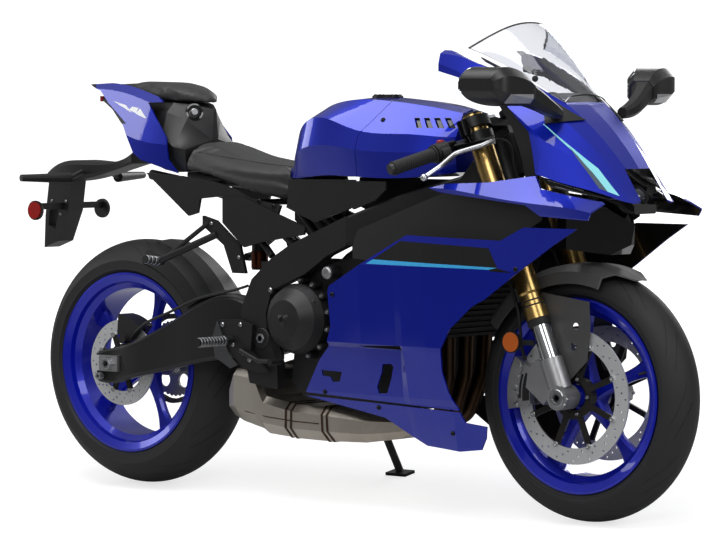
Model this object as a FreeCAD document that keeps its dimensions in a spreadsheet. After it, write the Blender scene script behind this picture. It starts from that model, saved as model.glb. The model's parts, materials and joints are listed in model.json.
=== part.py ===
import FreeCAD, Part
import math
import os
import Sketcher
from FreeCAD import Placement, Rotation, Vector

# A full-fairing sport bike that parks on its side stand. Millimetres and degrees.
# Bike axes: X forward from the rear axle, Y to the rider's left, Z up from the ground line.

SIZES = {
    "lean_angle": 10,
    "wheelbase": 1420,
    "rake_angle": 22.6,
    "fork_offset": 28.5,
    # wheels and tyres
    "front_tyre_radius": 300,
    "front_tyre_half_width": 60,
    "front_crown_drop": 50,
    "rear_tyre_radius": 315,
    "rear_tyre_half_width": 90,
    "rear_crown_drop": 53,
    "bead_radius": 217,
    "flange_radius": 231,
    "front_rim_half_width": 56,
    "rear_rim_half_width": 82,
    "rim_wall": 9,
    "spoke_root_width": 46,
    "spoke_waist_width": 30,
    "spoke_depth": 30,
    "hub_radius": 34,
    "front_hub_half_length": 56,
    "rear_hub_half_length": 82,
    "axle_radius": 12.5,
    "axle_bore_radius": 7,
    "running_gap": 0.05,
    # brakes
    "front_disc_radius": 160,
    "front_disc_band": 38,
    "front_disc_place": 68,
    "rear_disc_radius": 110,
    "rear_disc_band": 36,
    "rear_disc_place": 98,
    "disc_thickness": 4.6,
    "disc_gap": 6,
    "caliper_wall": 18,
    # fork and steering
    "fork_spread": 107,
    "fork_outer_radius": 28,
    "fork_inner_radius": 21.5,
    "fork_foot_top": 95,
    "fork_seal_height": 195,
    "fork_top_rise": 7,
    "yoke_thickness": 26,
    "bottom_yoke_height": 482,
    "top_yoke_height": 676,
    "stem_radius": 15,
    "head_tube_radius": 33,
    "clip_on_height": 640,
    "clip_on_thickness": 25,
    "bar_radius": 11,
    "grip_radius": 16.5,
    "bar_end_half_width": 340,
    "bar_end_back": 105,
    "bar_end_height": 618,
    # chain drive
    "sprocket_radius": 108,
    "drive_sprocket_radius": 38,
    "chain_line": 100,
    "chain_width": 16,
    "chain_height": 15,
    # chassis
    "frame_half_width": 158,
    "frame_plate_thickness": 30,
    "engine_half_width": 118,
    "pivot_x": 528,
    "pivot_height": 404,
    "pivot_radius": 14,
    "arm_inside": 110,
    "arm_outside": 146,
    "spool_back": 30,
    "spool_drop": 33,
    "spool_depth": 14,
    "slot_half": 20,
    "spool_radius": 4,
    "reflector_spread": 128,
    "panel_thickness": 4,
    "peg_half_width": 300,
    "mirror_half_width": 352,
    "mirror_top": 1070,
    "tail_reach": 350,
    "stand_foot_out": 245,
    "lid_radius": 38,
}


class Size:
    """A driving size: its value, and the text that binds a property to the sheet."""

    def __init__(self, value, text):
        self.value = value
        self.text = text

    def join(self, other, sign, work, swap=False):
        value = other.value if isinstance(other, Size) else other
        text = other.text if isinstance(other, Size) else repr(other)
        if swap:
            return Size(work(value, self.value), f"({text} {sign} {self.text})")
        return Size(work(self.value, value), f"({self.text} {sign} {text})")

    def __add__(self, other):
        return self.join(other, "+", lambda a, b: a + b)

    __radd__ = __add__

    def __sub__(self, other):
        return self.join(other, "-", lambda a, b: a - b)

    def __rsub__(self, other):
        return self.join(other, "-", lambda a, b: a - b, True)

    def __mul__(self, other):
        return self.join(other, "*", lambda a, b: a * b)

    __rmul__ = __mul__

    def __truediv__(self, other):
        return self.join(other, "/", lambda a, b: a / b)

    def __neg__(self):
        return Size(-self.value, f"(-1 * {self.text})")

    def __float__(self):
        return float(self.value)


doc = FreeCAD.newDocument("SportBike")
sheet = doc.addObject("Spreadsheet::Sheet", "Sizes")
for row, (name, value) in enumerate(SIZES.items(), start=1):
    sheet.set(f"A{row}", name)
    sheet.set(f"B{row}", str(value))
    sheet.setAlias(f"B{row}", name)
doc.recompute()


def size(name):
    return Size(float(sheet.get(name)), "Sizes." + name)


def num(name):
    return float(sheet.get(name))


def bind(thing, prop, value):
    """Set a property, and tie it to the sheet where the value comes from there."""
    if prop.isidentifier():
        setattr(thing, prop, float(value))
    if isinstance(value, Size):
        thing.setExpression(prop, value.text)


# The frames that the pieces stand in

LEAN = math.radians(num("lean_angle"))


def crown_radius(end):
    half, drop = size(f"{end}_tyre_half_width"), size(f"{end}_crown_drop")
    return (half * half + drop * drop) / (2 * drop)


def axle_height(end):
    """The leaning tyre's round crown touches the ground beside the wheel's own plane."""
    return num(f"{end}_tyre_radius") + float(crown_radius(end)) * (1 / math.cos(LEAN) - 1)


REAR_AXLE_Z = axle_height("rear")
FRONT_AXLE_Z = axle_height("front")


def leaned(y, z):
    """How far left a point of the upright bike comes to lie when it leans."""
    return y * math.cos(LEAN) + z * math.sin(LEAN)


PEG_END_Z = 396
NOSE_REACH = num("wheelbase") + num("front_tyre_radius")
MID_X = (NOSE_REACH - num("tail_reach")) / 2
MID_Y = (leaned(num("mirror_half_width"), num("mirror_top")) + leaned(-num("peg_half_width"), PEG_END_Z)) / 2
BIKE = Placement(Vector(-MID_X, -MID_Y, 0), Rotation(Vector(1, 0, 0), -num("lean_angle")))
REAR_WHEEL = BIKE.multiply(Placement(Vector(0, 0, REAR_AXLE_Z), Rotation()))
FRONT_WHEEL = BIKE.multiply(Placement(Vector(num("wheelbase"), 0, FRONT_AXLE_Z), Rotation()))
FORK = FRONT_WHEEL.multiply(Placement(Vector(), Rotation(Vector(0, 1, 0), -num("rake_angle"))))

nodes = []


def node(thing, label, frame):
    """Name a finished piece and stand it in its frame."""
    thing.Label = label
    thing.Placement = frame
    nodes.append(thing)
    return thing


def featured(label, shape, frame=BIKE):
    """A free-form piece whose shape comes from lofts and cuts."""
    thing = doc.addObject("Part::Feature", label.title().replace("_", ""))
    thing.Shape = shape
    return node(thing, label, frame.multiply(shape.Placement))


# Sketches and bodies


def plane(body, role):
    return [item for item in body.Origin.OriginFeatures if item.Role == role][0]


def outline(sketch, corners, arcs):
    """A closed outline. arcs maps a side's number to the point it bulges to and its radius."""
    count = len(corners)
    points = [Vector(float(x), float(y), 0) for x, y in corners]
    ends = []
    for side in range(count):
        start, finish = points[side], points[(side + 1) % count]
        if side in arcs:
            x, y, radius = arcs[side]
            made = sketch.addGeometry(Part.ArcOfCircle(start, Vector(float(x), float(y), 0), finish))
            forward = (sketch.getPoint(made, 1) - start).Length < 1e-6
            ends.append((made, 1, 2) if forward else (made, 2, 1))
        else:
            ends.append((sketch.addGeometry(Part.LineSegment(start, finish)), 1, 2))
    rules = []
    for side in range(count):
        following = ends[(side + 1) % count]
        rules.append((Sketcher.Constraint("Coincident", ends[side][0], ends[side][2],
                                          following[0], following[1]), None))
    for side, (x, y) in enumerate(corners):
        for kind, axis, value in (("DistanceX", -2, x), ("DistanceY", -1, y)):
            if not isinstance(value, Size) and abs(value) < 1e-9:
                rules.append((Sketcher.Constraint("PointOnObject", ends[side][0], ends[side][1], axis), None))
            else:
                rules.append((Sketcher.Constraint(kind, -1, 1, ends[side][0], ends[side][1],
                                                  float(value)), value))
    for side, (_, _, radius) in arcs.items():
        rules.append((Sketcher.Constraint("Radius", ends[side][0], float(radius)), radius))
    sketch.addConstraint([rule for rule, _ in rules])
    for index, (_, value) in enumerate(rules):
        if isinstance(value, Size):
            sketch.setExpression(f"Constraints[{index}]", value.text)


def new_body(name):
    return doc.addObject("PartDesign::Body", name)


def sketch_in(body, name, role, corners, arcs=None, offset=0.0):
    sketch = body.newObject("Sketcher::SketchObject", name)
    sketch.AttachmentSupport = [(plane(body, role), "")]
    sketch.MapMode = "FlatFace"
    sketch.AttachmentOffset = Placement(Vector(0, 0, float(offset)), Rotation())
    bind(sketch, "AttachmentOffset.Base.z", offset)
    outline(sketch, corners, arcs or {})
    return sketch


def turned(body, name, corners, arcs=None):
    """Spin a half section, given as (y, radius), about the Y axis."""
    sketch = sketch_in(body, name + "Section", "YZ_Plane", corners, arcs)
    ring = body.newObject("PartDesign::Revolution", name)
    ring.Profile = sketch
    ring.ReferenceAxis = (sketch, ["H_Axis"])
    ring.Angle = 360
    return ring


def plate(body, name, corners, y_from, thickness, arcs=None):
    """Pad a side outline, given as (x, z), towards +Y from y_from."""
    sketch = sketch_in(body, name + "Outline", "XZ_Plane", corners, arcs, -y_from)
    pad = body.newObject("PartDesign::Pad", name)
    pad.Profile = sketch
    pad.Reversed = True
    bind(pad, "Length", thickness)
    return pad


def lofted(body, name, stations):
    """Loft (y, z) sections along X. Each station is its x and its corners in order."""
    sketches = [sketch_in(body, f"{name}Section{index}", "YZ_Plane", corners, None, x)
                for index, (x, corners) in enumerate(stations)]
    loft = body.newObject("PartDesign::AdditiveLoft", name)
    loft.Profile = sketches[0]
    loft.Sections = sketches[1:]
    loft.Ruled = True
    return loft


def both_sides(half):
    """A full section from the half given as (y, z) from the top middle down one side."""
    return half + [(-y, z) for y, z in reversed(half) if abs(float(y)) > 1e-9]


def box_section(y_in, y_out, z_low, z_high, corner):
    """A rectangle with its four corners cut off."""
    return [(y_in + corner, z_low), (y_out - corner, z_low), (y_out, z_low + corner),
            (y_out, z_high - corner), (y_out - corner, z_high), (y_in + corner, z_high),
            (y_in, z_high - corner), (y_in, z_low + corner)]


# Plain solids for booleans


def rod(start, finish, radius):
    start, finish = Vector(*start), Vector(*finish)
    return Part.makeCylinder(float(radius), (finish - start).Length, start, finish - start)


def cone(start, finish, radius_start, radius_end):
    start, finish = Vector(*start), Vector(*finish)
    return Part.makeCone(float(radius_start), float(radius_end), (finish - start).Length, start, finish - start)


def block(low, high):
    low, high = Vector(*low), Vector(*high)
    return Part.makeBox(high.x - low.x, high.y - low.y, high.z - low.z, low)


def prism(corners, y_low, y_high):
    """A side outline, given as (x, z), pushed from y_low to y_high."""
    points = [Vector(x, y_low, z) for x, z in corners]
    face = Part.Face(Part.makePolygon(points + points[:1]))
    return face.extrude(Vector(0, y_high - y_low, 0))


def upright(corners, z_low, z_high):
    """A plan outline, given as (x, y), pushed from z_low to z_high."""
    points = [Vector(x, y, z_low) for x, y in corners]
    face = Part.Face(Part.makePolygon(points + points[:1]))
    return face.extrude(Vector(0, 0, z_high - z_low))


def pipe(points, radius, bend):
    """A round tube along straight runs joined by tangent bends."""
    points = [Vector(*point) for point in points]
    edges = []
    here = points[0]
    for before, corner, after in zip(points, points[1:], points[2:]):
        into = (corner - before).normalize()
        out = (after - corner).normalize()
        turn = into.getAngle(out)
        reach = bend * math.tan(turn / 2)
        start, finish = corner - into * reach, corner + out * reach
        middle_way = (out - into).normalize()
        centre = corner + middle_way * (bend / math.cos(turn / 2))
        edges.append(Part.LineSegment(here, start).toShape())
        edges.append(Part.Arc(start, centre - middle_way * bend, finish).toShape())
        here = finish
    edges.append(Part.LineSegment(here, points[-1]).toShape())
    first = points[1] - points[0]
    ring = Part.Wire(Part.makeCircle(radius, points[0], first))
    return Part.Wire(edges).makePipeShell([ring], True, False)


def skin(stations, wall, smooth=False, ruled=False):
    """A sheet of even wall lofted along X. Each station is x and its outer line as (y, z)."""
    wires = []
    for x, line in stations:
        inner = offset_line(line, wall)
        outer_points = [Vector(x, y, z) for y, z in line]
        inner_points = [Vector(x, y, z) for y, z in reversed(inner)]
        if smooth:
            curves = []
            for points in (outer_points, inner_points):
                spline = Part.BSplineCurve()
                spline.interpolate(points)
                curves.append(spline.toShape())
            ends = [Part.LineSegment(outer_points[-1], inner_points[0]).toShape(),
                    Part.LineSegment(inner_points[-1], outer_points[0]).toShape()]
            wires.append(Part.Wire([curves[0], ends[0], curves[1], ends[1]]))
        else:
            points = outer_points + inner_points
            wires.append(Part.makePolygon(points + points[:1]))
    return Part.makeLoft(wires, True, ruled)


def offset_line(line, wall):
    """The line moved to its right-hand side by the wall."""
    moved = []
    last = len(line) - 1
    for index, (y, z) in enumerate(line):
        y_before, z_before = line[max(index - 1, 0)]
        y_after, z_after = line[min(index + 1, last)]
        before = math.atan2(z - z_before, y - y_before) if index else None
        after = math.atan2(z_after - z, y_after - y) if index < last else None
        before = after if before is None else before
        after = before if after is None else after
        half = math.atan2(math.sin(after - before), math.cos(after - before)) / 2
        heading = before + half
        step = wall / max(math.cos(half), 0.35)
        moved.append((y + step * math.sin(heading), z - step * math.cos(heading)))
    return moved


def mirrored(shape):
    """The same piece on the bike's other side."""
    return shape.mirror(Vector(0, 0, 0), Vector(0, 1, 0))


def pair(shape):
    return Part.makeCompound([shape, mirrored(shape)])


def fused(first, *others):
    return first.fuse(list(others))


# Wheels


def rim_section(half, wall):
    """The rim barrel: two flanges, two bead seats and a drop centre."""
    bead, flange = size("bead_radius"), size("flange_radius")
    return [(-half, flange), (-half + 5, flange), (-half + 6, bead), (-half + 20, bead - 2),
            (-half + 32, bead - 17), (half - 32, bead - 17), (half - 20, bead - 2), (half - 6, bead),
            (half - 5, flange), (half, flange), (half + 1, flange - 6), (half - 6, bead - wall),
            (half - 18, bead - 4 - wall), (half - 30, bead - 18 - wall),
            (-half + 30, bead - 18 - wall), (-half + 18, bead - 4 - wall), (-half + 6, bead - wall),
            (-half - 1, flange - 6)]


def spoke_section(width, depth, chamfer):
    return [(-width + chamfer, -depth), (width - chamfer, -depth), (width, -depth + chamfer),
            (width, depth - chamfer), (width - chamfer, depth), (-width + chamfer, depth),
            (-width, depth - chamfer), (-width, -depth + chamfer)]


def wheel(end, label, frame, phase):
    body = new_body(label.title().replace("_", ""))
    half = size(f"{end}_rim_half_width")
    wall = size("rim_wall")
    hub_half = size(f"{end}_hub_half_length")
    hub = size("hub_radius")
    bore = size("axle_radius") + size("running_gap")
    turned(body, "Barrel", rim_section(half, wall))
    spoke_end = size("bead_radius") - 18 - wall / 2
    sketches = []
    depth = size("spoke_depth") / 2
    root, waist = size("spoke_root_width") / 2, size("spoke_waist_width") / 2
    heights = [hub - 8, hub + 30, spoke_end - 60, spoke_end]
    widths = [root, waist + 2, waist - 1, waist + 12]
    depths = [depth + 6, depth, depth - 4, depth - 1]
    for index in range(4):
        sketches.append(sketch_in(body, f"SpokeSection{index}", "XY_Plane",
                                  spoke_section(widths[index], depths[index], 6), None, heights[index]))
    spoke = body.newObject("PartDesign::AdditiveLoft", "Spoke")
    spoke.Profile = sketches[0]
    spoke.Sections = sketches[1:]
    doc.recompute()
    ring = body.newObject("PartDesign::PolarPattern", "Spokes")
    ring.Originals = [spoke]
    ring.Axis = (plane(body, "Y_Axis"), [""])
    ring.Angle = 360
    ring.Occurrences = 5
    body.Tip = ring
    doc.recompute()
    turned(body, "Hub", [(-hub_half, 0), (hub_half, 0), (hub_half, hub - 8), (hub_half - 14, hub - 6),
                         (30, hub), (-30, hub), (14 - hub_half, hub - 6), (-hub_half, hub - 8)])
    doc.recompute()
    hole = sketch_in(body, "AxleHole", "YZ_Plane",
                     [(-hub_half - 1, 0), (hub_half + 1, 0), (hub_half + 1, bore), (-hub_half - 1, bore)])
    groove = body.newObject("PartDesign::Groove", "AxleBore")
    groove.Profile = hole
    groove.ReferenceAxis = (hole, ["H_Axis"])
    groove.Angle = 360
    turn = frame.multiply(Placement(Vector(), Rotation(Vector(0, 1, 0), phase)))
    return node(body, label, turn)


def tyre(end, label, frame):
    body = new_body(label.title().replace("_", ""))
    half, radius = size(f"{end}_tyre_half_width"), size(f"{end}_tyre_radius")
    drop = size(f"{end}_crown_drop")
    rim = size(f"{end}_rim_half_width") - 6
    bead, flange = size("bead_radius"), size("flange_radius")
    shoulder = radius - drop
    corners = [(half, shoulder), (-half, shoulder), (-half + 2, flange + 8), (-rim, flange), (-rim, bead),
               (rim, bead), (rim, flange), (half - 2, flange + 8)]
    turned(body, "Casing", corners, {0: (0.0, radius, crown_radius(end))})
    return node(body, label, frame)


def disc_rotor(radius, band, place, carrier_bore):
    """A brake disc on its star-shaped carrier, as one solid."""
    thick = num("disc_thickness")
    low = place - thick / 2
    ring = Part.makeCylinder(radius, thick, Vector(0, low, 0), Vector(0, 1, 0))
    ring = ring.cut(Part.makeCylinder(radius - band, thick, Vector(0, low, 0), Vector(0, 1, 0)))
    arms = []
    for index in range(8):
        angle = 2 * math.pi * (index + 0.5) / 8
        way = Vector(math.cos(angle), 0, math.sin(angle))
        arm = block((carrier_bore, low - 1, -7), (radius - band + 8, low + thick + 1, 7))
        arm.rotate(Vector(), Vector(0, 1, 0), -math.degrees(angle))
        arms.append(arm)
        centre = way * (radius - band + 2) + Vector(0, low - 3, 0)
        arms.append(Part.makeCylinder(8, thick + 6, centre, Vector(0, 1, 0)))
    hub = Part.makeCylinder(carrier_bore + 14, thick, Vector(0, low, 0), Vector(0, 1, 0))
    hub = hub.cut(Part.makeCylinder(carrier_bore, thick, Vector(0, low, 0), Vector(0, 1, 0)))
    rotor = ring.fuse(arms + [hub])
    holes = []
    for row, share in enumerate((0.22, 0.5, 0.78)):
        count = 20
        for index in range(count):
            angle = 2 * math.pi * (index + row / 3) / count
            way = Vector(math.cos(angle), 0, math.sin(angle)) * (radius - band * share)
            holes.append(Part.makeCylinder(2.6, thick + 2, way + Vector(0, low - 1, 0), Vector(0, 1, 0)))
    return rotor.cut(Part.makeCompound(holes))


def front_discs():
    hub = num("hub_radius")
    rotor = disc_rotor(num("front_disc_radius"), num("front_disc_band"), num("front_disc_place"), hub + 6)
    seat = Part.makeCylinder(hub + 12, num("front_disc_place") - num("front_hub_half_length") + 18,
                             Vector(0, num("front_hub_half_length") - 18, 0), Vector(0, 1, 0))
    seat = seat.cut(Part.makeCylinder(hub, 80, Vector(0, 20, 0), Vector(0, 1, 0)))
    featured("front_discs", pair(rotor.fuse(seat)), FRONT_WHEEL)


def rear_disc():
    hub = num("hub_radius")
    place = num("rear_disc_place")
    rotor = disc_rotor(num("rear_disc_radius"), num("rear_disc_band"), place, hub)
    reach = place - num("rear_hub_half_length") + 20
    seat = Part.makeCylinder(hub + 8, reach, Vector(0, place - reach, 0), Vector(0, 1, 0))
    seat = seat.cut(Part.makeCylinder(hub, reach, Vector(0, place - reach, 0), Vector(0, 1, 0)))
    featured("rear_disc", mirrored(rotor.fuse(seat)), REAR_WHEEL)


def rear_sprocket():
    """The final drive's toothed ring, on a carrier that slips over the hub."""
    hub = num("hub_radius")
    line = num("chain_line")
    radius = num("sprocket_radius") - 9
    thick, teeth, tooth = 7, 43, 6
    low = line - thick / 2
    rim = []
    for index in range(teeth * 2):
        angle = math.pi * index / teeth
        reach = radius if index % 2 else radius - tooth
        rim.append(Vector(math.cos(angle) * reach, low, math.sin(angle) * reach))
    ring = Part.Face(Part.makePolygon(rim + rim[:1])).extrude(Vector(0, thick, 0))
    windows = []
    for index in range(6):
        angle = 2 * math.pi * index / 6
        way = Vector(math.cos(angle), 0, math.sin(angle)) * (radius * 0.66)
        windows.append(Part.makeCylinder(18, thick + 2, way + Vector(0, low - 1, 0), Vector(0, 1, 0)))
    windows.append(Part.makeCylinder(hub, thick + 2, Vector(0, low - 1, 0), Vector(0, 1, 0)))
    ring = ring.cut(Part.makeCompound(windows))
    reach = line - num("rear_hub_half_length") + 20
    seat = Part.makeCylinder(hub + 8, reach, Vector(0, line - reach, 0), Vector(0, 1, 0))
    seat = seat.cut(Part.makeCylinder(hub, reach, Vector(0, line - reach, 0), Vector(0, 1, 0)))
    featured("rear_sprocket", ring.fuse(seat), REAR_WHEEL)


# Fork and steering, in the fork's own frame: origin at the front axle, Z up the fork


def axle(label, half_length, frame):
    shaft = doc.addObject("Part::Cylinder", label.title().replace("_", "") + "Shaft")
    hole = doc.addObject("Part::Cylinder", label.title().replace("_", "") + "Hole")
    for part, radius in ((shaft, size("axle_radius")), (hole, size("axle_bore_radius"))):
        bind(part, "Radius", radius)
        bind(part, "Height", 2 * half_length)
        part.Placement = Placement(Vector(0, -float(half_length), 0), Rotation(Vector(1, 0, 0), -90))
    cut = doc.addObject("Part::Cut", label.title().replace("_", ""))
    cut.Base = shaft
    cut.Tool = hole
    return node(cut, label, frame)


def fork_legs():
    spread = num("fork_spread")
    seal, foot = num("fork_seal_height"), num("fork_foot_top")
    top = num("top_yoke_height") + num("yoke_thickness") + num("fork_top_rise")
    outer, inner = num("fork_outer_radius"), num("fork_inner_radius")
    profile = [(0, seal), (outer, seal), (outer, seal + 30), (outer - 2, seal + 34), (outer - 2, seal + 60),
               (outer, seal + 66), (outer, top - 12), (outer - 3, top - 8), (outer - 3, top), (0, top)]
    points = [Vector(x, 0, z) for x, z in profile]
    leg = Part.Face(Part.makePolygon(points + points[:1])).revolve(Vector(), Vector(0, 0, 1), 360)
    leg.translate(Vector(0, spread, 0))
    featured("fork_outer_tubes", pair(leg), FORK)
    tube = rod((0, spread, foot), (0, spread, seal), inner)
    featured("fork_inner_tubes", pair(tube), FORK)
    socket = rod((0, spread, 18), (0, spread, foot), inner + 6)
    eye = rod((0, spread - 26, 0), (0, spread + 26, 0), 29)
    bracket_in = caliper_outside()
    web = prism([(-64, 4), (-20, 26), (-18, 92), (-44, 110), (-74, 96), (-96, 60)], bracket_in, bracket_in + 13)
    shell = fused(socket, eye, web)
    shell = shell.cut(rod((0, spread - 30, 0), (0, spread + 30, 0), num("axle_radius")))
    featured("fork_feet", pair(shell), FORK)


def yoke(label, height, extra):
    """A clamp across both fork legs, waisted between them and the steering stem."""
    spread, outer = num("fork_spread"), num("fork_outer_radius")
    offset = num("fork_offset")
    thick = num("yoke_thickness")
    low = Vector(0, 0, height)
    up = Vector(0, 0, 1)
    boss = Part.makeCylinder(outer + 10, thick, low + Vector(0, spread, 0), up)
    middle = Part.makeCylinder(num("head_tube_radius"), thick, low + Vector(-offset, 0, 0), up)
    web = upright([(14, spread - 30), (14, 30 - spread), (-34, 30 - spread), (-offset - 30, -12),
                   (-offset - 30, 12), (-34, spread - 30)], height + 3, height + thick - 3)
    body = fused(web, boss, mirrored(boss), middle)
    for side in (-1, 1):
        body = body.cut(Part.makeCylinder(outer, thick + 2, low + Vector(0, side * spread, -1), up))
    featured(label, body.fuse(extra), FORK)


def yokes():
    offset, thick = num("fork_offset"), num("yoke_thickness")
    bottom, top = num("bottom_yoke_height"), num("top_yoke_height")
    stem = Part.makeCylinder(num("stem_radius"), top - bottom - thick, Vector(-offset, 0, bottom + thick),
                             Vector(0, 0, 1))
    yoke("bottom_yoke", bottom, stem)
    nut = Part.makeCylinder(18, 9, Vector(-offset, 0, top + thick), Vector(0, 0, 1))
    yoke("top_yoke", top, nut)


def bar_point(share):
    """A point on the left handlebar, from its clamp (0) to its end (1)."""
    start = Vector(-6, num("fork_spread"), num("clip_on_height") + num("clip_on_thickness") / 2)
    finish = Vector(-num("bar_end_back"), num("bar_end_half_width"), num("bar_end_height"))
    return start + (finish - start) * share


def handlebars():
    spread, outer = num("fork_spread"), num("fork_outer_radius")
    low, thick = num("clip_on_height"), num("clip_on_thickness")
    bar_radius, grip_radius = num("bar_radius"), num("grip_radius")
    bar_start, grip_start, grip_end = 0.12, 0.5, 0.955
    clamp = Part.makeCylinder(outer + 8, thick, Vector(0, spread, low), Vector(0, 0, 1))
    bar = rod(bar_point(bar_start), bar_point(grip_end), bar_radius)
    weight = cone(bar_point(grip_end), bar_point(1), grip_radius - 2, grip_radius - 4)
    clip = clamp.fuse([bar, weight]).cut(Part.makeCylinder(outer, thick, Vector(0, spread, low), Vector(0, 0, 1)))
    featured("clip_ons", pair(clip), FORK)
    bore = rod(bar_point(bar_start), bar_point(grip_end), bar_radius)
    grip = rod(bar_point(grip_start), bar_point(grip_end), grip_radius).cut(bore)
    featured("grips", pair(grip), FORK)
    pod = rod(bar_point(0.36), bar_point(0.49), 23)
    pod = pod.fuse(rod(bar_point(0.38) + Vector(8, 0, -10), bar_point(0.47) + Vector(8, 0, -10), 20)).cut(bore)
    featured("switch_pods", pair(pod), FORK)


def levers():
    """The clutch lever stands on the left bar, and the brake lever with its fluid pot on the right."""
    pivot, tip = Vector(72, 152, 620), Vector(-27, 325, 567)
    bore = rod(bar_point(0.14), bar_point(0.49), num("bar_radius"))
    collar = rod(bar_point(0.26), bar_point(0.34), 17)
    perch = rod(bar_point(0.3) + Vector(8, 0, -3), pivot, 10)
    blade = pipe([tuple(pivot), (56, 180, 613), (14, 235, 610), (-4, 285, 584), tuple(tip)], 6, 40)
    lever = fused(collar, perch, blade, Part.makeSphere(9, tip)).cut(bore)
    pot = rod((14, 172, 652), (14, 172, 690), 14)
    arm = rod((18, 168, 630), (14, 172, 660), 7)
    brake = fused(lever, arm, pot).cut(bore)
    featured("levers", Part.makeCompound([lever, mirrored(brake)]), FORK)


def ring_sector(radius_in, radius_out, y_low, y_high, angle_from, angle_to):
    """A slice of a ring about the wheel's axis, from one angle to another above +X."""
    points = [Vector(radius_in, y_low, 0), Vector(radius_out, y_low, 0),
              Vector(radius_out, y_high, 0), Vector(radius_in, y_high, 0)]
    slab = Part.Face(Part.makePolygon(points + points[:1]))
    slice_ = slab.revolve(Vector(), Vector(0, -1, 0), angle_to - angle_from)
    slice_.rotate(Vector(), Vector(0, 1, 0), -angle_from)
    return slice_


def caliper(disc_radius, disc_place, deep, angle_from, angle_to):
    """A brake caliper that bridges the disc's rim with a slot for the disc to run in."""
    gap = num("disc_gap")
    wall = num("caliper_wall")
    half = num("disc_thickness") / 2 + gap
    body = ring_sector(disc_radius - deep, disc_radius + gap + wall * 0.6, disc_place - half - wall,
                       disc_place + half + wall, angle_from, angle_to)
    slot = ring_sector(disc_radius - deep - 5, disc_radius + gap, disc_place - half, disc_place + half,
                       angle_from - 5, angle_to + 5)
    return body.cut(slot)


def caliper_outside():
    """How far out the front caliper's outer face lies, where its bracket bolts on."""
    return num("front_disc_place") - 2 + num("disc_thickness") / 2 + num("disc_gap") + num("caliper_wall")


def brake_hoses():
    """A hose from each caliper up behind the fork leg to the bottom yoke."""
    low = num("bottom_yoke_height")
    hose = pipe([(-89, 84, 124), (-84, 90, 150), (-50, 104, 230), (-46, 100, 370), (-40, 40, 452), (-30, 22, low - 4)],
                4, 20)
    featured("brake_hoses", pair(hose), FORK)


def front_calipers():
    """Each has two halves bridged over the disc, with two piston housings standing out."""
    place = num("front_disc_place") - 2
    body = caliper(num("front_disc_radius"), place, 50, 150, 192)
    pots = []
    for angle in (157, 182):
        way = Vector(math.cos(math.radians(angle)), 0, math.sin(math.radians(angle)))
        centre = way * 156
        outside = caliper_outside()
        pots.append(rod((centre.x, outside - 4, centre.z), (centre.x, outside + 6, centre.z), 14))
    featured("front_calipers", pair(body.fuse(pots)), FRONT_WHEEL)


def front_fender():
    """A mudguard over the tyre, pointed ahead, with a flat plate down each side to the fork."""
    inner, wall = num("front_tyre_radius") + 13, 3
    half = num("fork_spread") - num("fork_outer_radius")
    crest = [(half, inner - 48), (half - 6, inner - 20), (half - 26, inner - 4), (0, inner)]
    line = crest + [(-y, r) for y, r in reversed(crest[:-1])]
    outer = offset_line(line, -wall)
    points = [Vector(r, y, 0) for y, r in line] + [Vector(r, y, 0) for y, r in reversed(outer)]
    arch = Part.Face(Part.makePolygon(points + points[:1])).revolve(Vector(), Vector(0, -1, 0), 84)
    arch.rotate(Vector(), Vector(0, 1, 0), -62)
    corner = upright([(62, half + 9), (160, half + 9), (160, 12), (140, 26)], 200, 340)
    arch = arch.cut(corner).cut(mirrored(corner))
    side = prism([(-96, 243), (52, 224), (55, 166), (46, 84), (-5, 36), (-30, 90), (-62, 170)],
                 half - wall, half)
    for x, z in ((14, 165), (8, 118)):
        side = side.cut(rod((x, half - 9, z), (x, half + 9, z), 9))
    featured("front_fender", fused(arch, side, mirrored(side)), FRONT_WHEEL)


def front_reflectors():
    """An amber disc on a flat stay that clips to the fork tube."""
    centre = Vector(-136, num("fork_spread") + 18, 125)
    lens = rod(centre, centre + Vector(0, 9, 0), 23)
    stay = block((centre.x, centre.y - 4, centre.z - 6), (-74, centre.y, centre.z + 6))
    featured("front_reflectors", pair(lens.fuse(stay)), FRONT_WHEEL)


# Chassis

ENGINE_SIDE = [(592, 300), (640, 258), (1000, 250), (1020, 300), (1004, 470), (1056, 610), (1030, 650), (890, 655),
               (800, 610), (740, 600), (620, 560)]


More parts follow.
